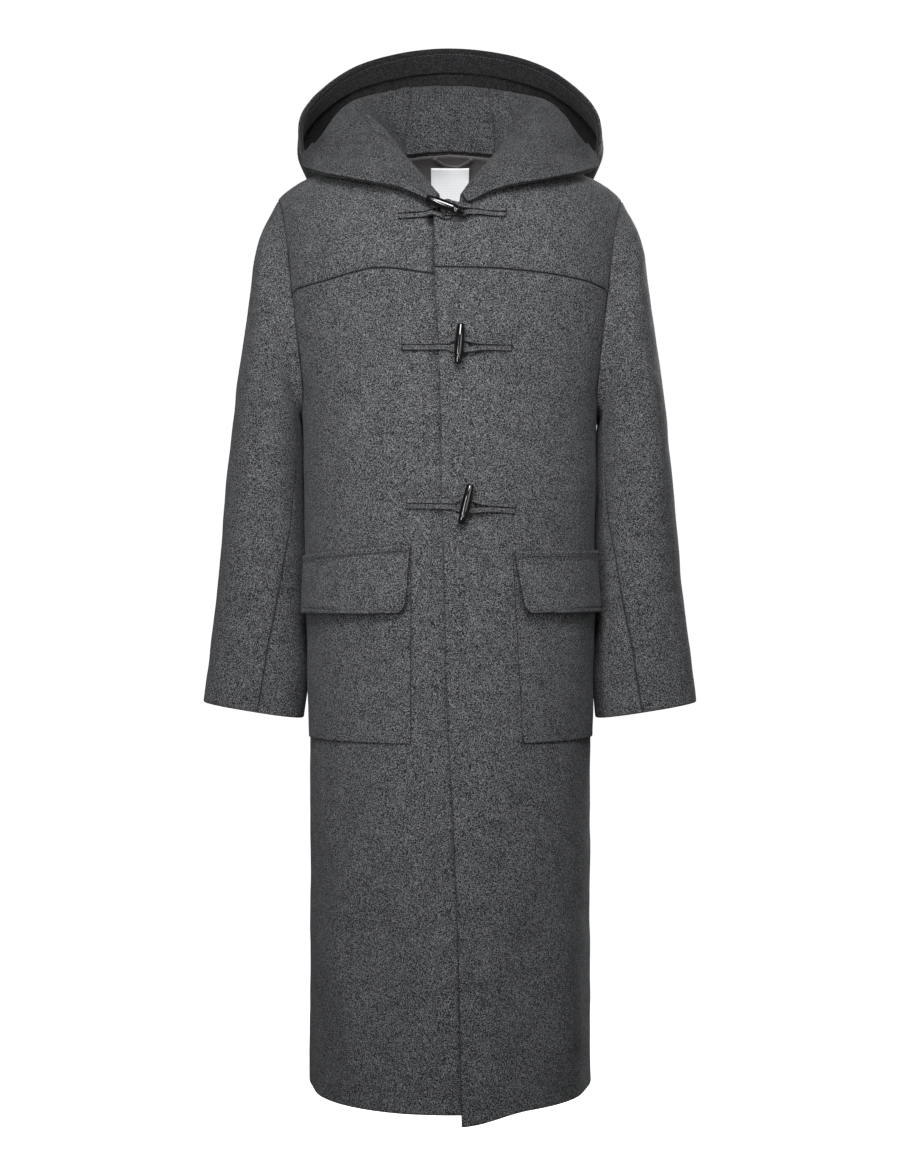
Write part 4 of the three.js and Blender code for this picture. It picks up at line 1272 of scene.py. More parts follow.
        def surface(share: Array, up: Array) -> Array:
            across = np.abs(share * 2 - 1)
            side = np.where(share < 0.5, -1.0, 1.0)
            two = np.full(np.shape(across), 2.0)
            top = np.where(across < corner - 1e-6, form.neckline_level(angle_of(across, two), True), 2.0)
            level = np.where(up <= armpit_row, form.armpit_level * up / armpit_row,
                             mix(form.armpit_level, top, (up - armpit_row) / (1 - armpit_row)))
            return self.back_point(side, 180 - angle_of(across, level), level)

        edges = (Finish.SEAM, Finish.SEAM, Finish.TURNED, Finish.SEAM)
        columns = spaced(self.BACK_WIDTH, self.cell, edges[0], edges[1])
        corners = [0.5 - corner / 2 + 1e-6, 0.5 + corner / 2 - 1e-6]
        columns = np.sort(np.concatenate([columns, corners]))
        rows = spaced(self.BACK_LENGTH, self.cell, edges[2], edges[3])
        points, outward = self.grid(rows, columns, surface, -1)
        cloth = Cloth("back_cloth", points, outward, edges, edge_half=1.9)
        hang(cloth, self.finishes.wool, ["back"])

    def build(self) -> None:
        """Builds every panel of the body."""
        self.build_back()
        for side in (1, -1):
            self.build_front(side)
            self.build_yoke(side)


# Sleeves.

SLEEVE_CREASES = (
    Crease((-206, -110), (-192, -215), 9, -2.2, bow=3),
    Crease((-228, -250), (-214, -420), 13, -1.8, bow=4),
    Crease((-212, -470), (-236, -640), 12, 1.6),
    Crease((-258, -300), (-262, -470), 14, 1.2),
    Crease((222, -95), (196, -178), 11, -2.6, bow=-3),
    Crease((240, -130), (214, -170), 12, -2.2),
    Crease((206, -185), (238, -300), 10, 2.4, bow=-5),
    Crease((212, -270), (224, -420), 12, -2.8, bow=-3),
    Crease((232, -250), (246, -440), 13, 2.0),
    Crease((222, -480), (243, -660), 13, 1.8),
    Crease((258, -400), (262, -560), 14, -1.4),
    Crease((-236, -140), (-214, -320), 14, -2.4, facing=1, bow=-5),
    Crease((-224, -380), (-262, -430), 12, -2.2, facing=1, bow=5),
    Crease((-226, -420), (-262, -478), 11, 1.8, facing=1, bow=4),
    Crease((236, -140), (212, -330), 14, -2.4, facing=1, bow=5),
    Crease((222, -400), (264, -446), 12, -2.4, facing=1, bow=-5),
    Crease((226, -450), (268, -500), 11, 1.8, facing=1, bow=-4),
)


@dataclass
class Sleeve:
    """A two-piece sleeve, hanging from the armhole seam to an open cuff."""

    body: CoatBody
    side: int
    cell: float = 4.6
    square: float = 0.86
    top_gap: float = 0.3
    armpit_gap: float = 3.0
    crease_fade: float = 0.04
    sections: Table = field(default_factory=lambda: Table("k outerX outerZ innerX innerZ front back", [
        (0, 222, -103, 175.4, -326, -64, 66), (1, 234, -174, 174.4, -336, -69, 74),
        (2, 243, -235, 173.8, -347, -70, 80), (3, 251, -295, 173.3, -371, -68, 82),
        (4, 264, -413, 172, -444, -60, 82), (5, 275.5, -531, 169.3, -549, -49, 74),
        (6, 284, -600, 168.5, -618, -43, 66), (7, 290.5, -651, 174, -670, -40, 60)]))
    seams: Table = field(default_factory=lambda: Table("down front back", [
        (0, 158, 232), (0.45, 148, 240), (0.62, 134, 246), (0.68, 121, 247), (0.75, 109, 248),
        (0.84, 100, 250), (1, 96, 252)]))

    ARMHOLE_STEPS = 90
    LENGTH = 590.0
    PART_WIDTHS = {"upper": 250.0, "under": 130.0}

    def armhole(self, turn: Array) -> Array:
        """Returns the armhole seam: 0 at the shoulder, 90 in front and 180 under the arm."""
        form = self.body.form
        level = np.linspace(2.0, form.armpit_level, self.ARMHOLE_STEPS + 1)
        halves = []
        for part in ("front", "back"):
            angle = form.armhole_angle(level, part)
            angle = angle if part == "front" else 180 - angle
            points = form.point(self.side, angle, level)
            run = run_lengths(points[None], 1)[0]
            share = np.where(turn <= 180, turn, 360 - turn) / 180
            halves.append(read_line(share * run[-1], run, points))
        return np.where((turn <= 180)[..., None], halves[0], halves[1])

    def ring(self, row: Array, turn: Array) -> Array:
        """Returns one section of the sleeve at each turn."""
        _, outer_x, outer_z, inner_x, inner_z, front, back = row
        cosine = signed_power(np.cos(np.radians(turn)), self.square)
        sine = signed_power(np.sin(np.radians(turn)), self.square)
        return np.stack([self.side * ((outer_x + inner_x) / 2 + (outer_x - inner_x) / 2 * cosine),
                         (front + back) / 2 - (back - front) / 2 * sine,
                         (outer_z + inner_z) / 2 + (outer_z - inner_z) / 2 * cosine], -1)

    def plain(self, turn: Array, down: Array) -> Array:
        """Returns the sleeve's surface without creases, from the armhole (0) to the cuff (1)."""
        shape = np.shape(turn)
        flat_turn = np.mod(np.ravel(turn), 360)
        start = self.armhole(flat_turn)
        rings = [self.ring(row, flat_turn) for row in self.sections.rows]
        under = smooth(((1 - np.cos(np.radians(flat_turn))) / 2) ** 1.5)
        gap = mix(self.top_gap, self.armpit_gap, under)[:, None]
        start = start + unit(rings[0] - start) * gap
        curves = np.stack([start, *rings], axis=1)
        return centripetal(curves, np.ravel(down)).reshape(*shape, 3)

    def point(self, turn: Array, down: Array) -> Array:
        """Returns the sleeve's surface with its creases."""
        plain = self.plain(turn, down)
        outward = normals_of(self.plain, turn, np.clip(down, 0.01, 0.99), 2.0, 0.008, self.side)
        lift = creased(plain, outward, SLEEVE_CREASES) + unevenness(plain)
        fade = smooth(down / self.crease_fade)
        return plain + outward * (lift * fade)[..., None]

    def build(self) -> None:
        """Builds the upper and the under sleeve."""
        name = CoatBody.NAMES[self.side]
        edges = (Finish.SEAM, Finish.SEAM, Finish.TURNED, Finish.SEAM)
        for part, width in self.PART_WIDTHS.items():
            rows = 1 - spaced(self.LENGTH, self.cell, Finish.TURNED, Finish.SEAM)
            columns = spaced(width, self.cell, Finish.SEAM, Finish.SEAM)
            down, across = np.meshgrid(rows, columns, indexing="ij")
            front, back = self.seams.at("front", down), self.seams.at("back", down)
            turn = mix(back - 360, front, across) if part == "upper" else mix(front, back, across)
            points = self.point(turn, down)
            outward = grid_normals(points, -self.side)
            cloth = Cloth(f"sleeve_{name}_{part}_cloth", points, outward, edges, edge_half=2.2, facing=35.0,
                          edge_shades=(0.7, 0.7, 0.6, 0.55))
            hang(cloth, self.body.finishes.wool, [f"sleeve_{name}_{part}"])


# The hood.

LOBE_CREASES = (
    Crease((-118, 20), (-66, 2), 7, -4.0, bow=3),
    Crease((-112, 6), (-74, -6), 9, 3.0, bow=3),
    Crease((66, 70), (66, 4), 4.5, -6.5, bow=7),
    Crease((78, 66), (78, 6), 6, 3.5, bow=7),
    Crease((56, 56), (64, 0), 7, -4.0, bow=-3),
    Crease((86, 40), (128, -12), 11, 3.4, bow=5),
    Crease((104, 50), (150, 0), 11, -2.6, bow=4),
    Crease((-110, 60), (-60, -6), 5, -6.0, bow=-5),
    Crease((-140, -20), (-60, -42), 9, -2.0, bow=-3),
    Crease((-50, 120), (-62, 60), 12, 1.6),
    Crease((30, 86), (36, 20), 12, -1.4),
)
POUCH_CREASES = (
    Crease((-120, 100), (-60, 30), 16, 3.0, facing=1, bow=-8),
    Crease((110, 90), (70, 0), 16, -3.0, facing=1, bow=8),
    Crease((20, 120), (40, -60), 18, 2.4, facing=1, bow=8),
    Crease((-40, 60), (-20, -80), 15, -2.2, facing=1),
)


@dataclass
class Hood:
    """An open hood: it rolls over at the neck, falls to a pouch behind and stands up to a wide rim."""

    body: CoatBody
    cell: float = 4.6
    facing_width: float = 30.0
    neck_gap: float = 0.4
    facing_lift: float = 3.1
    # Painted shade on the hood's inside: an even level, a darker level over the far wall and rim, and where that
    # darker part starts and fades.
    inside_shade: float = 0.26
    far_shade: float = 0.75
    far_from: float = 0.66
    lobe_end: float = 0.56
    lobe_fade: float = 0.1
    far_fade: float = 0.08
    far_half: float = 0.42
    far_half_fade: float = 0.16
    crease_fade: float = 0.08
    unevenness: float = 1.2
    rounds: Table = field(default_factory=lambda: Table("k round", [
        (0, 7), (1, 30), (2, 58), (3, 80), (4, 103), (5, 127), (6, 152), (7, 180)]))
    seam: Table = field(default_factory=lambda: Table("share round", [
        (0, 0.24), (0.16, 0.13), (0.6, 0.105), (0.9, 0.085), (1, 0.085)]))
    curves: dict[str, Sequence[tuple[float, float, float]]] = field(default_factory=lambda: {
        "roll": [(12, -115, -76), (29, -100, -53), (57, -68, -15), (76, -30, 17),
                 (106, 8, 54), (93, 42, 73), (54, 64, 86), (0, 74, 93)],
        "fall": [(14, -117.5, -77.5), (39, -107, -57), (79, -81, -19), (106, -41, 11),
                 (137, 8, 38), (124, 62, 52), (70, 98, 40), (0, 112, 30)],
        "pouch": [(16.5, -119.5, -80), (48, -112, -61), (97, -89, -33), (131, -46, -14),
                  (157, 8, 9), (141, 104, -60), (84, 142, -96), (0, 157, -106)],
        "wall": [(18.5, -120.5, -82.5), (54, -114.5, -64.5), (108, -92, -44), (146, -50, -30),
                 (168, 2, -5), (179, 84, 0), (122, 158, 5), (0, 186, 14)],
        "rim": [(20.7, -121.5, -85.5), (59, -115, -68), (115, -92, -53), (154, -52, -38),
                (174, -4, -14), (174, 38, 56), (110, 92, 124), (0, 126, 153)]})

    PROFILE_STEPS = 160
    LENGTH, SIDE_WIDTH, CENTRE_WIDTH, RIM_LENGTH = 420.0, 470.0, 90.0, 1080.0

    def profile_points(self, place: Array) -> Array:
        """Returns the points of the hood's profile at each place from -1 over 0 to 1."""
        form = self.body.form
        side = np.where(place < 0, -1.0, 1.0)
        last = len(self.curves["roll"]) - 1
        station = (1 - np.minimum(np.abs(place), 1)) * last
        rounds = np.clip(self.rounds.at("round", station), 0, 180)
        angle = form.neckline.at("angle", rounds)
        level = np.minimum(form.neckline.at("level", rounds), 2)
        neck = form.point(1.0, np.where(rounds <= 90, angle, 180 - angle), level)
        runs = []
        for curve in self.curves.values():
            points = np.array(curve, float)
            mirrored = points[-2::-1] * np.array([-1.0, 1.0, 1.0])
            runs.append(even(np.concatenate([points, mirrored]), station))
        up = unit(runs[0] - neck)
        profile = np.stack([neck + up * self.neck_gap, *runs], axis=1)
        profile[..., 0] *= side[:, None]
        return profile

    def plain(self, place: Array, share: Array) -> Array:
        """Returns the hood's surface from the neck (0) to the rim (1), without creases."""
        shape = np.shape(place)
        points = self.profile_points(np.ravel(place))
        return centripetal(points, np.ravel(share)).reshape(*shape, 3)

    def point(self, place: Array, share: Array) -> Array:
        """Returns the hood's surface with its creases."""
        plain = self.plain(place, share)
        held = np.clip(place, -0.98, 0.98)
        outward = normals_of(self.plain, held, np.clip(share, 0.02, 0.98), 0.01, 0.012, 1.0)
        lobe = 1 - smooth((share - self.lobe_end) / self.lobe_fade)
        lift = creased(plain, outward, LOBE_CREASES) * lobe + creased(plain, outward, POUCH_CREASES)
        lift = lift + self.unevenness * unevenness(plain)
        return plain + outward * (lift * smooth(share / self.crease_fade))[..., None]

    def shares(self, near: Array, rows: Array, band_only: bool) -> Array:
        """Spreads rows evenly by length along each profile.

        Args:
            near: Place of each column at the rim.
            rows: Shares of the profile's length, or of the facing's width.
            band_only: Whether the rows cover the facing alone.

        Returns:
            The profile's parameter for each row and column.
        """
        steps = np.linspace(0, 1, self.PROFILE_STEPS + 1)
        made = np.empty((len(rows), len(near)))
        for column, place in enumerate(near):
            line = self.plain(np.full(steps.shape, place), steps)
            run = run_lengths(line[None], 1)[0]
            start = max(run[-1] - self.facing_width, run[-1] * 0.55) if band_only else 0.0
            made[:, column] = np.interp(mix(start, run[-1], rows), run, steps)
        return made

    def panel(self, first: Callable[[Array], Array], last: Callable[[Array], Array], rows: Array,
              columns: Array, band_only: bool = False) -> Array:
        """Samples a panel between two seams.

        Args:
            first: Place of the first edge for each share.
            last: Place of the last edge.
            rows: Shares up the panel.
            columns: Shares across it.
            band_only: Whether it covers the facing alone.

        Returns:
            The panel's points.
        """
        one = np.ones(len(columns))
        near = mix(first(one), last(one), columns)
        share = self.shares(near, rows, band_only)
        place = mix(first(share), last(share), columns[None])
        return self.point(place, share)

    def painted_inside_shade(self, rows: Array, places: Array) -> Array:
        """Returns the painted shade inside the hood, for each row and column of a panel: darker over the far wall
        and rim.
        """
        up, place = np.meshgrid(rows, places, indexing="ij")
        far = smooth((up - self.far_from) / self.far_fade)
        far = far * (1 - smooth((np.abs(place) - self.far_half) / self.far_half_fade))
        return mix(self.inside_shade, self.far_shade, far).ravel()

    def build(self) -> None:
        """Builds the three panels and the facing."""
        wool = self.body.finishes.wool
        right = lambda share: np.full(np.shape(share), -1.0)
        left = lambda share: np.full(np.shape(share), 1.0)
        near_seam = lambda share: self.seam.at("round", share)
        far_seam = lambda share: -self.seam.at("round", share)
        rows = spaced(self.LENGTH, self.cell, Finish.SEAM, Finish.SEAM)
        spans = (("hood_side_right", right, far_seam, self.SIDE_WIDTH),
                 ("hood_centre", far_seam, near_seam, self.CENTRE_WIDTH),
                 ("hood_side_left", near_seam, left, self.SIDE_WIDTH))
        for name, first, last, width in spans:
            columns = spaced(width, self.cell, Finish.SEAM, Finish.SEAM)
            points = self.panel(first, last, rows, columns)
            outward = grid_normals(points, 1.0)
            edges = (Finish.SEAM, Finish.SEAM, Finish.HIDDEN, Finish.HIDDEN)
            whole = np.ones(1)
            places = mix(first(whole), last(whole), columns)
            cloth = Cloth(f"{name}_cloth", points, outward, edges, half=1.4, edge_shades=(0.45, 0.45, 0.0, 0.0),
                          face_shade=self.painted_inside_shade(rows, places))
            hang(cloth, wool, [name])
        self.build_facing(right, left)

    def build_facing(self, first: Callable[[Array], Array], last: Callable[[Array], Array]) -> None:
        """Builds the facing inside the rim and its row of stitches."""
        rows = spaced(self.facing_width, 3.0, Finish.SEAM, Finish.TURNED)
        columns = spaced(self.RIM_LENGTH, self.cell, Finish.TURNED, Finish.TURNED)
        middle = self.panel(first, last, rows, columns, band_only=True)
        outward = grid_normals(middle, 1.0)
        points = middle + outward * self.facing_lift
        edges = (Finish.HIDDEN, Finish.HIDDEN, Finish.SEAM, Finish.TURNED)
        cloth = Cloth("hood_facing_cloth", points, outward, edges, half=1.5, edge_half=1.9, facing=8.0,
                      stitched=(False, False, False, True),
                      face_shade=self.painted_inside_shade(np.ones(len(rows)), 2 * columns - 1))
        hang(cloth, self.body.finishes.wool, ["hood_facing"])
        down = cloth.edge_distances()[3]
        row = int(np.argmin(np.abs(down.mean(axis=1) - STITCH_FROM_EDGE)))
        self.body.stitches.row(points[row] + outward[row] * STITCH_LIFT, outward[row])


# Pockets and flaps.


@dataclass
class PatchPocket:
    """A patch pocket with its flap, sewn to a front.

    The inner edges are placed by their distance from the middle and the outer ones by their angle round
    the body. The flap's top has a height at each end.
    """

    body: CoatBody
    side: int
    top_x: float
    bottom_x: float
    outer: float
    flap_top_x: float
    flap_bottom_x: float
    flap_outer: float
    flap_inner_top: float
    flap_outer_top: float
    flap_bottom: float
    top_z: float = -484.0
    bottom_z: float = -690.0
    corner: float = 11.0
    stand: float = 8.0
    outer_stand: float = 4.5
    # Painted shade line along the flap's seam: its distance below the top edge, width and strength.
    seam_below: float = 8.0
    seam_shade_width: float = 1.4
    seam_shade: float = 0.75
    patch_half: float = 1.0
    laid: float = 0.45
    wave: float = 0.8
    cell: float = 3.6

    WIDTH, FLAP_WIDTH = 150.0, 145.0

    def grid(self, rows: Array, columns: Array, inner_x: Surface, z_at: Surface, outer: float,
             lift: Surface) -> tuple[Array, Array]:
        """Samples a patch on the front.

        Args:
            rows: Shares down the patch.
            columns: Shares from its inner edge to its outer one.
            inner_x: Inner edge's distance from the middle.
            z_at: Height.
            outer: The outer edge's angle round the body.
            lift: Distance off the front's middle surface.

        Returns:
            The points and the normals.
        """
        form, body = self.body.form, self.body
        down, across = np.meshgrid(rows, columns, indexing="ij")
        z = z_at(across, down)
        level = form.level_of(z)
        inner = form.angle_at(inner_x(across, down), level)
        angle = mix(inner, outer, across)
        surface = lambda a, l: body.front_point(self.side, a, l)
        outward = normals_of(surface, angle, level, *PANEL_STEPS, self.side)
        points = surface(angle, level) + outward * lift(across, down)[..., None]
        return points, outward

    def build_pocket(self) -> None:
        """Builds the patch, open to the flap at its top."""
        name = CoatBody.NAMES[self.side]
        edges = (Finish.TURNED, Finish.TURNED, Finish.HIDDEN, Finish.TURNED)
        rows = spaced(self.top_z - self.bottom_z, self.cell, edges[2], edges[3])
        columns = spaced(self.WIDTH, self.cell, edges[0], edges[1])
        points, _ = self.grid(
            rows, columns, lambda a, d: mix(self.top_x, self.bottom_x, d),
            lambda a, d: mix(self.top_z, self.bottom_z, d), self.outer,
            lambda a, d: np.full(np.shape(d), CLOTH_HALF + self.laid + self.patch_half))
        outward = grid_normals(points, -self.side)
        cloth = Cloth(f"pocket_{name}_cloth", points, outward, edges, half=self.patch_half,
                      edge_half=self.patch_half * 1.25, facing=9.0)
        hang(cloth, self.body.finishes.wool, [f"pocket_{name}"])

    def stitch(self, cloth: Cloth) -> None:
        """Adds a row of stitches inside each edge of a patch."""
        for distance, along_rows in zip(cloth.edge_distances(), (False, False, True, True)):
            mean = distance.mean(axis=1 if along_rows else 0)
            index = int(np.argmin(np.abs(mean - STITCH_FROM_EDGE)))
            line = (index, slice(2, -2)) if along_rows else (slice(2, -2), index)
            outward = cloth.outward[line]
            self.body.stitches.row(cloth.points[line] + outward * STITCH_LIFT, outward)

    def build_flap(self) -> None:
        """Builds the flap, which stands off the pocket at its free edge."""
        name = CoatBody.NAMES[self.side]
        edges = (Finish.TURNED,) * 4
        height = (self.flap_inner_top + self.flap_outer_top) / 2 - self.flap_bottom
        rows = spaced(height, self.cell, edges[2], edges[3])
        columns = spaced(self.FLAP_WIDTH, self.cell, edges[0], edges[1])

        def z_at(across: Array, down: Array) -> Array:
            return mix(mix(self.flap_inner_top, self.flap_outer_top, across), self.flap_bottom, down)

        def inner_x(across: Array, down: Array) -> Array:
            turn = np.clip((down * height - (height - self.corner)) / self.corner, 0, 1)
            rounding = self.corner * (1 - np.sqrt(1 - turn * turn * 0.9))
            return mix(self.flap_top_x, self.flap_bottom_x, down) + rounding

        def lift(across: Array, down: Array) -> Array:
            free = mix(self.stand, self.outer_stand, across) * smooth(down)
            wave = self.wave * np.sin(across * 7.0 + self.side) * smooth(down)
            return 2 * (CLOTH_HALF + self.patch_half + self.laid) + free + wave

        points, _ = self.grid(rows, columns, inner_x, z_at, self.flap_outer, lift)
        outward = grid_normals(points, -self.side)
        cloth = Cloth(f"flap_{name}_cloth", points, outward, edges, half=1.4, edge_half=1.9, facing=12.0,
                      stitched=(True,) * 4, stitch_depth=0.6)
        # Painted shade line along the flap's seam below its top edge.
        off = (cloth.edge_distances()[2] - self.seam_below) / self.seam_shade_width
        cloth.shade = self.seam_shade * np.exp(-off * off)
        hang(cloth, self.body.finishes.wool, [f"flap_{name}"])
        self.stitch(cloth)

    def build(self) -> None:
        """Builds the pocket and its flap."""
        self.build_pocket()
        self.build_flap()


# Closures.


@dataclass
class Closure:
    """A toggle on a doubled cloth tab, held by a doubled cloth loop.

    The toggle leans by its angle in degrees. The loop and the tab are sewn on where their x and z say.
    """

    body: CoatBody
    number: int
    x: float
    z: float
    lean: float
    lift: float
    loop_x: float
    loop_z: float
    tab_x: float
    tab_z: float
    width: float = 6.2
    thickness: float = 2.8
    pitch: float = 6.3
    eye_half: float = 9.0
    eye_past: float = 3.0
    loop_free: float = 19.0
    tab_half: float = 6.4
    tab_free: float = 27.0
    toggle_length: float = 45.0
    toggle_radius: float = 5.4
    notch: float = 0.42
    laid: float = 0.5
    gap: float = 0.3
    crossing: float = 0.35
    crossing_width: float = 0.3
    loop_tacks: tuple[float, float] = (0.1, 0.82)
    tab_tacks: tuple[float, float] = (0.1, 0.52)
    tack_reach: float = 2.4
    tack_zigzag: float = 0.9
    tack_thread: float = 0.6
    tack_points: int = 26
    stitch_inset: float = 1.3
    stitch_sink: float = 0.1
    unstitched: int = 8

    PROFILE = Table("along share notch", [
        (-0.5, 0.55, 0), (-0.49, 0.66, 0), (-0.4, 0.8, 0), (-0.3, 0.91, 0), (-0.21, 1, 0),
        (-0.19, 1, 1), (0, 1, 1), (0.19, 1, 1), (0.21, 1, 0), (0.3, 0.95, 0), (0.4, 0.87, 0),
        (0.49, 0.76, 0), (0.5, 0.66, 0)])

    @property
    def loop_lift(self) -> float:
        """Returns the loop's height over the cloth's middle surface."""
        return CLOTH_HALF + self.laid + self.thickness / 2

    @property
    def tab_lift(self) -> float:
        """Returns the tab's height where it crosses the loop."""
        return self.loop_lift + self.thickness + self.gap

    def tab_rise(self, share: Array) -> Array:
        """Returns the tab's height at each share of its length, where it climbs over the loop."""
        return mix(self.loop_lift, self.tab_lift, smooth((share - self.crossing) / self.crossing_width))

    def strip_path(self, fixed_x: float, fixed_z: float, turn_half: float, turn_x: float, free: float,
                   lift: Callable[[Array], Array]) -> tuple[Array, Array]:
        """Runs out along one strand, round the turn and back along the other.

        Args:
            fixed_x: Where the sewn end lies.
            fixed_z: Its height.
            turn_half: Half the height of the turn.
            turn_x: Where the turn lies.
            free: Length over which the strands part towards the turn.
            lift: Height off the cloth by the share of the way out.

        Returns:
            The path's points and normals.
        """
        way = math.copysign(1.0, turn_x - fixed_x)
        length = abs(turn_x - fixed_x)
        along = np.linspace(0, 1, 34)
        left = length * (1 - along)
        spread = mix(turn_half, self.pitch / 2, smooth(left / free))
        x = fixed_x + way * length * along
        base = mix(fixed_z, self.z, along)
        bend = np.linspace(0, math.pi, 12)[1:-1]
        turn_across = turn_x + way * turn_half * 0.55 * np.sin(bend)
        turn_up = self.z + turn_half * np.cos(bend)
        xs = np.concatenate([x, turn_across, x[::-1]])
        zs = np.concatenate([base + spread, turn_up, (base - spread)[::-1]])
        shares = np.concatenate([along, np.ones(len(bend)), along[::-1]])
        return self.body.over_fronts(xs, zs, lift(shares))

    def build_strip(self, name: str, path: Array, outward: Array) -> None:
        """Builds one doubled strip with the stitches along it."""
        rings = strip_rings(path, outward, self.width, self.thickness)
        corners, faces = tube_mesh(rings)
        turn = (np.arange(rings.shape[1]) + 0.5) / rings.shape[1] * 2 * math.pi
        # Painted shade along both long edges of each strip and over its ends.
        painted_shade = np.tile(smooth((np.abs(np.cos(turn)) - 0.55) / 0.35), (len(rings), 1))
        painted_shade[[0, -1]] = 1.0
        piece = mesh_object(f"{name}_{self.number}_strip", corners, faces, self.body.finishes.wool, painted_shade)
        sew(piece, [f"{name}_{self.number}"])
        along = unit(np.gradient(path, axis=0))
        across = unit(np.cross(along, outward))
        count = len(path)
        face = self.thickness / 2 - self.stitch_sink
        for part in (slice(0, count // 2 - self.unstitched), slice(count // 2 + self.unstitched, count)):
            for edge in (-1, 1):
                offset = across[part] * edge * (self.width / 2 - self.stitch_inset)
                self.body.stitches.row(path[part] + offset + outward[part] * face, outward[part])

    def bar_tack(self, x: float, z: float, lift: float) -> None:
        """Sews a close zigzag bar across both strands."""
        reach = self.pitch + self.tack_reach
        rise = np.linspace(-reach, reach, self.tack_points)
        swing = self.tack_zigzag
        zigzag = np.where(np.arange(self.tack_points) % 2 == 0, -swing, swing)
        points, outward = self.body.over_fronts(x + zigzag, z + rise, np.full(self.tack_points, lift))
        rings = strip_rings(points, outward, self.tack_thread, self.tack_thread, sides=6, square=1.0)
        corners, faces = tube_mesh(rings)
        piece = mesh_object(f"bar_tack_{self.number}_{int(round(x)) + 100}", corners, faces,
                            self.body.finishes.thread)
        sew(piece)

    def build_toggle(self) -> None:
        """Builds the toggle: a tapered peg with flats, cut away behind for the tab."""
        centre, out = self.body.over_fronts(np.array([self.x]), np.array([self.z]), np.array([0.0]))
        centre, out = centre[0], out[0]
        lean = math.radians(self.lean)
        up = np.array([math.sin(lean), 0.0, math.cos(lean)])
        up = unit(up - out * (up @ out))
        across = unit(np.cross(up, out))
        behind = self.toggle_radius * (1 - self.notch)
        lift = self.tab_lift + self.thickness / 2 + self.gap + behind + self.lift
        centre = centre + out * lift
        sides, rings = 28, []
        turn = np.arange(sides) / sides * 2 * math.pi
        places, shares, cuts = self.PROFILE.rows.T
        for along in np.unique(np.concatenate([places, np.linspace(-0.46, 0.46, 24)])):
            share = float(np.interp(along, places, shares))
            cut = float(np.interp(along, places, cuts))
            behind = np.maximum(0, -np.sin(turn)) * cut * self.notch
            radius = self.toggle_radius * share * (1 - behind)
            bow = 0.7 * (1 - (2 * along) ** 2)
            rings.append(centre + up * along * self.toggle_length + out * bow
                         + across * (np.cos(turn) * radius * 0.96)[:, None]
                         + out * (np.sin(turn) * radius)[:, None])
        corners, faces = tube_mesh(np.stack(rings))
        piece = mesh_object(f"toggle_{self.number}_horn", corners, faces, self.body.finishes.horn)
        sew(piece, [f"toggle_{self.number}"])

    def build(self) -> None:
        """Builds the loop, the tab, the bar tacks and the toggle."""
        level = lambda share: np.full(np.shape(share), self.loop_lift)
        loop, loop_out = self.strip_path(self.loop_x, self.loop_z, self.eye_half, self.x + self.eye_past,
                                         self.loop_free, level)
        self.build_strip("loop", loop, loop_out)
        tab, tab_out = self.strip_path(self.tab_x, self.tab_z, self.tab_half, self.x + 1, self.tab_free,
                                       self.tab_rise)
        self.build_strip("tab", tab, tab_out)
        face = self.thickness / 2
        for share in self.loop_tacks:
            self.bar_tack(mix(self.loop_x, self.x, share), mix(self.loop_z, self.z, share),
                          self.loop_lift + face)
        for share in self.tab_tacks:
            self.bar_tack(mix(self.tab_x, self.x, share), mix(self.tab_z, self.z, share),
                          float(self.tab_rise(np.array(share))) + face)
        self.build_toggle()


# Inside the neck.


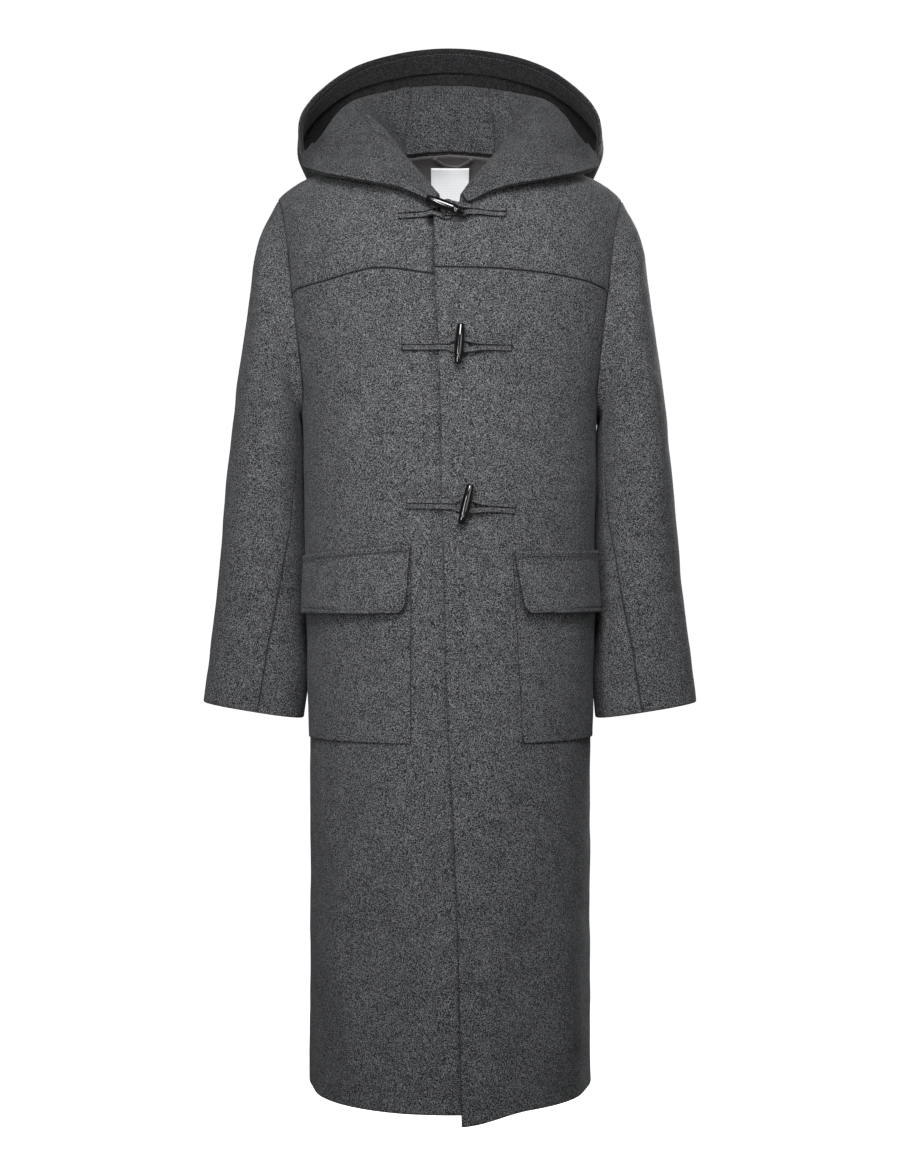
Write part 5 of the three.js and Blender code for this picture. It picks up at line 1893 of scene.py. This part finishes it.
@dataclass
class NeckInside:
    """Lining, blank label and hanging loop inside the back of the neck."""

    body: CoatBody
    lining_half: float = 92.0
    lining_bottom: float = -150.0
    label_half: float = 24.6
    label_top: float = 0.0
    label_height: float = 38.0
    loop_from: float = -19.0
    loop_to: float = 27.0
    loop_sag: float = 9.0
    lining_ease: float = 17.0
    ease_over: float = 70.0
    label_ease: float = 5.0
    label_swing: float = 13.0
    lining_depth: float = 3.4
    label_depth: float = 6.4
    loop_depth: float = 5.6
    loop_width: float = 4.2
    loop_thickness: float = 2.2
    loose_from: float = 0.18
    seam_half: float = 1.6

    # Pleats of the lining: height, width, drift up the lining and phase.
    PLEATS = ((1.1, 8.5, 2.2, 0.0), (0.7, 4.7, -3.0, 1.0))

    def neck_z(self, x: Array) -> Array:
        """Returns the height of the back neckline at a distance from the middle."""
        form = self.body.form
        rounds = np.linspace(95, 180, 60)
        angle, level = form.neckline.at("angle", rounds), form.neckline.at("level", rounds)
        points = form.point(1.0, 180 - angle, np.minimum(level, 2))
        order = np.argsort(points[:, 0])
        return np.interp(np.abs(x), points[order, 0], points[order, 2])

    def forward(self, points: Array) -> Array:
        """Returns a grid's normals, turned to the front."""
        outward = grid_normals(points, 1.0)
        return outward * (-1.0 if outward[..., 1].mean() > 0 else 1.0)

    def build_lining(self) -> None:
        """Builds the lining with its centre seam and soft upright pleats."""
        columns = np.linspace(-self.lining_half, self.lining_half, 84)
        rows = np.linspace(0, 1, 56)
        up, x = np.meshgrid(rows, columns, indexing="ij")
        z = mix(self.lining_bottom, self.neck_z(x) - 1.0, up)
        loose = smooth((1 - up) / self.loose_from)
        pleat = sum(height * np.sin(x / width + drift * up + phase)
                    for height, width, drift, phase in self.PLEATS) * loose
        seam = -np.exp(-((x / self.seam_half) ** 2))
        hanging = self.lining_ease * smooth((self.neck_z(x) - z) / self.ease_over)
        points, _ = self.body.inside_back(x, z, self.lining_depth + pleat + seam + hanging)
        cloth = Cloth("lining_satin", points, self.forward(points), (Finish.HIDDEN,) * 4, half=0.25)
        hang(cloth, self.body.finishes.satin, ["lining"])

    def build_label(self) -> None:
        """Builds the blank label, sewn flat along its edges."""
        rows, columns = np.linspace(0, 1, 30), np.linspace(-1, 1, 40)
        up, across = np.meshgrid(rows, columns, indexing="ij")
        x = across * self.label_half
        z = self.label_top - self.label_height * (1 - up)
        bulge = 1.1 * (1 - across**2) * (1 - (2 * up - 1) ** 2)
        hanging = self.label_ease + self.label_swing * (1 - up)
        points, _ = self.body.inside_back(x, z, self.label_depth + bulge + hanging)
        cloth = Cloth("label_blank", points, self.forward(points), (Finish.TURNED,) * 4, half=0.35,
                      edge_half=0.5, facing=3.0)
        hang(cloth, self.body.finishes.label, ["label"])

    def build_hanger(self) -> None:
        """Builds the satin hanging loop at the neck seam."""
        along = np.linspace(0, 1, 40)
        x = mix(self.loop_from, self.loop_to, along)
        z = self.neck_z(x) - 2.0 - self.loop_sag * np.sin(math.pi * along) ** 0.8
        points, inward = self.body.inside_back(x, z, self.loop_depth + 1.6 * np.sin(math.pi * along))
        rings = strip_rings(points, inward, self.loop_width, self.loop_thickness)
        corners, faces = tube_mesh(rings)
        sew(mesh_object("hanging_loop_satin", corners, faces, self.body.finishes.satin),
            ["hanger_loop"])

    def build(self) -> None:
        """Builds all three pieces."""
        self.build_lining()
        self.build_label()
        self.build_hanger()


# Studio.


@dataclass(frozen=True)
class Lamp:
    """A large soft light: where it stands and points, its face's width and height, and its watts."""

    name: str
    place: tuple[float, float, float]
    target: tuple[float, float, float]
    width: float
    height: float
    power: float


@dataclass
class Studio:
    """Pale floor and backdrop, soft light and a camera level with the coat's middle, in metres."""

    camera_distance: float = 2.4
    camera_height: float = -0.517
    view_height: float = 1.3877
    floor_z: float = -1.32
    sensor: float = 36.0
    spread: float = 86.0
    air: float = 0.07

    LAMPS = (
        Lamp("key", (-0.06, -1.45, 0.66), (0.04, 0.0, -0.46), width=0.7, height=0.7, power=8.7),
        Lamp("fill", (1.3, -1.9, -0.1), (0.0, 0.0, -0.4), width=1.2, height=1.2, power=3.0),
        Lamp("strip", (-0.95, -2.1, -0.3), (-0.1, 0.0, -0.4), width=0.14, height=1.2, power=6.2),
        Lamp("behind", (0.9, 2.1, 0.7), (0.0, 0.0, -0.45), width=1.5, height=1.5, power=24.0),
    )

    def build_camera(self) -> None:
        """Makes the camera, level and square to the coat's front."""
        data = bpy.data.cameras.new("camera")
        data.sensor_width = self.sensor
        data.lens = self.sensor * self.camera_distance / self.view_height
        camera = bpy.data.objects.new("camera", data)
        camera.location = (0.0, -self.camera_distance, self.camera_height)
        camera.rotation_euler = (math.radians(90), 0, 0)
        bpy.context.scene.collection.objects.link(camera)
        bpy.context.scene.camera = camera

    def build_backdrop(self) -> None:
        """Makes a lit white floor that curves up into a round wall. It sheds no light on the coat."""
        far, bend, wall, sides = 8.0, 1.5, 7.0, 64
        turn = np.linspace(0, math.pi / 2, 12)
        profile = [(0.01, self.floor_z)]
        profile += [(far + bend * math.sin(t), self.floor_z + bend * (1 - math.cos(t))) for t in turn]
        profile += [(far + bend, self.floor_z + wall), (0.01, self.floor_z + wall + 1)]
        around = np.arange(sides) / sides * 2 * math.pi
        rings = np.array([[(r * math.cos(a), r * math.sin(a), z) for a in around] for r, z in profile])
        corners, faces = tube_mesh(rings / METRES)
        material, tree, shader = fresh_material("white_paper")
        feed(tree, shader, {"Base Color": linear("#f4f5f6"), "Roughness": 0.9,
                            "Emission Color": linear("#ffffff"), "Emission Strength": 1.0})
        made = mesh_object("backdrop", corners, faces, material)
        made.visible_diffuse = False
        made.visible_glossy = False

    def build_light(self, lamp: Lamp) -> None:
        """Adds one light."""
        data = bpy.data.lights.new(lamp.name, "AREA")
        data.shape = "RECTANGLE"
        data.size = lamp.width
        data.size_y = lamp.height
        data.spread = math.radians(self.spread)
        data.energy = lamp.power
        made = bpy.data.objects.new(lamp.name, data)
        way = np.array(lamp.target) - np.array(lamp.place)
        made.location = lamp.place
        yaw = math.atan2(way[0], -way[1])
        tilt = math.acos(-way[2] / np.linalg.norm(way))
        made.rotation_euler = (tilt, 0, yaw + math.pi)
        bpy.context.scene.collection.objects.link(made)

    def build_air(self) -> None:
        """Adds faint even light from all round."""
        world = bpy.data.worlds.new("studio_air")
        world.use_nodes = True
        background = world.node_tree.nodes["Background"]
        feed(world.node_tree, background, {"Color": linear("#ffffff"), "Strength": self.air})
        bpy.context.scene.world = world

    def build(self) -> None:
        """Builds the whole studio."""
        bpy.context.scene.view_settings.view_transform = "Standard"
        self.build_camera()
        self.build_backdrop()
        for lamp in self.LAMPS:
            self.build_light(lamp)
        self.build_air()


def main() -> None:
    """Builds the coat piece by piece around the frame."""
    logging.basicConfig(level=logging.INFO, format="%(name)s %(message)s")
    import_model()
    Studio().build()
    finishes = Finishes()
    body = CoatBody(BodyForm(), finishes)
    body.build()
    for side in (1, -1):
        Sleeve(body, side).build()
    Hood(body).build()
    PatchPocket(body, -1, top_x=43, bottom_x=43, outer=80, flap_top_x=43, flap_bottom_x=49, flap_outer=76,
                flap_inner_top=-468, flap_outer_top=-479, flap_bottom=-546).build()
    PatchPocket(body, 1, top_x=68.5, bottom_x=79.5, outer=84, flap_top_x=68.5, flap_bottom_x=78,
                flap_outer=77, flap_inner_top=-475, flap_outer_top=-473, flap_bottom=-545).build()
    Closure(body, 1, x=-5.5, z=-94, lean=-67, lift=2.4, loop_x=-58, loop_z=-98, tab_x=62, tab_z=-97).build()
    Closure(body, 2, x=10, z=-247, lean=5, lift=0, loop_x=-54, loop_z=-246, tab_x=68, tab_z=-247).build()
    Closure(body, 3, x=16.5, z=-425, lean=14, lift=0, loop_x=-48.5, loop_z=-423, tab_x=71.5,
            tab_z=-428.5).build()
    NeckInside(body).build()
    body.stitches.build(finishes.thread)


if __name__ == "__main__":
    main()
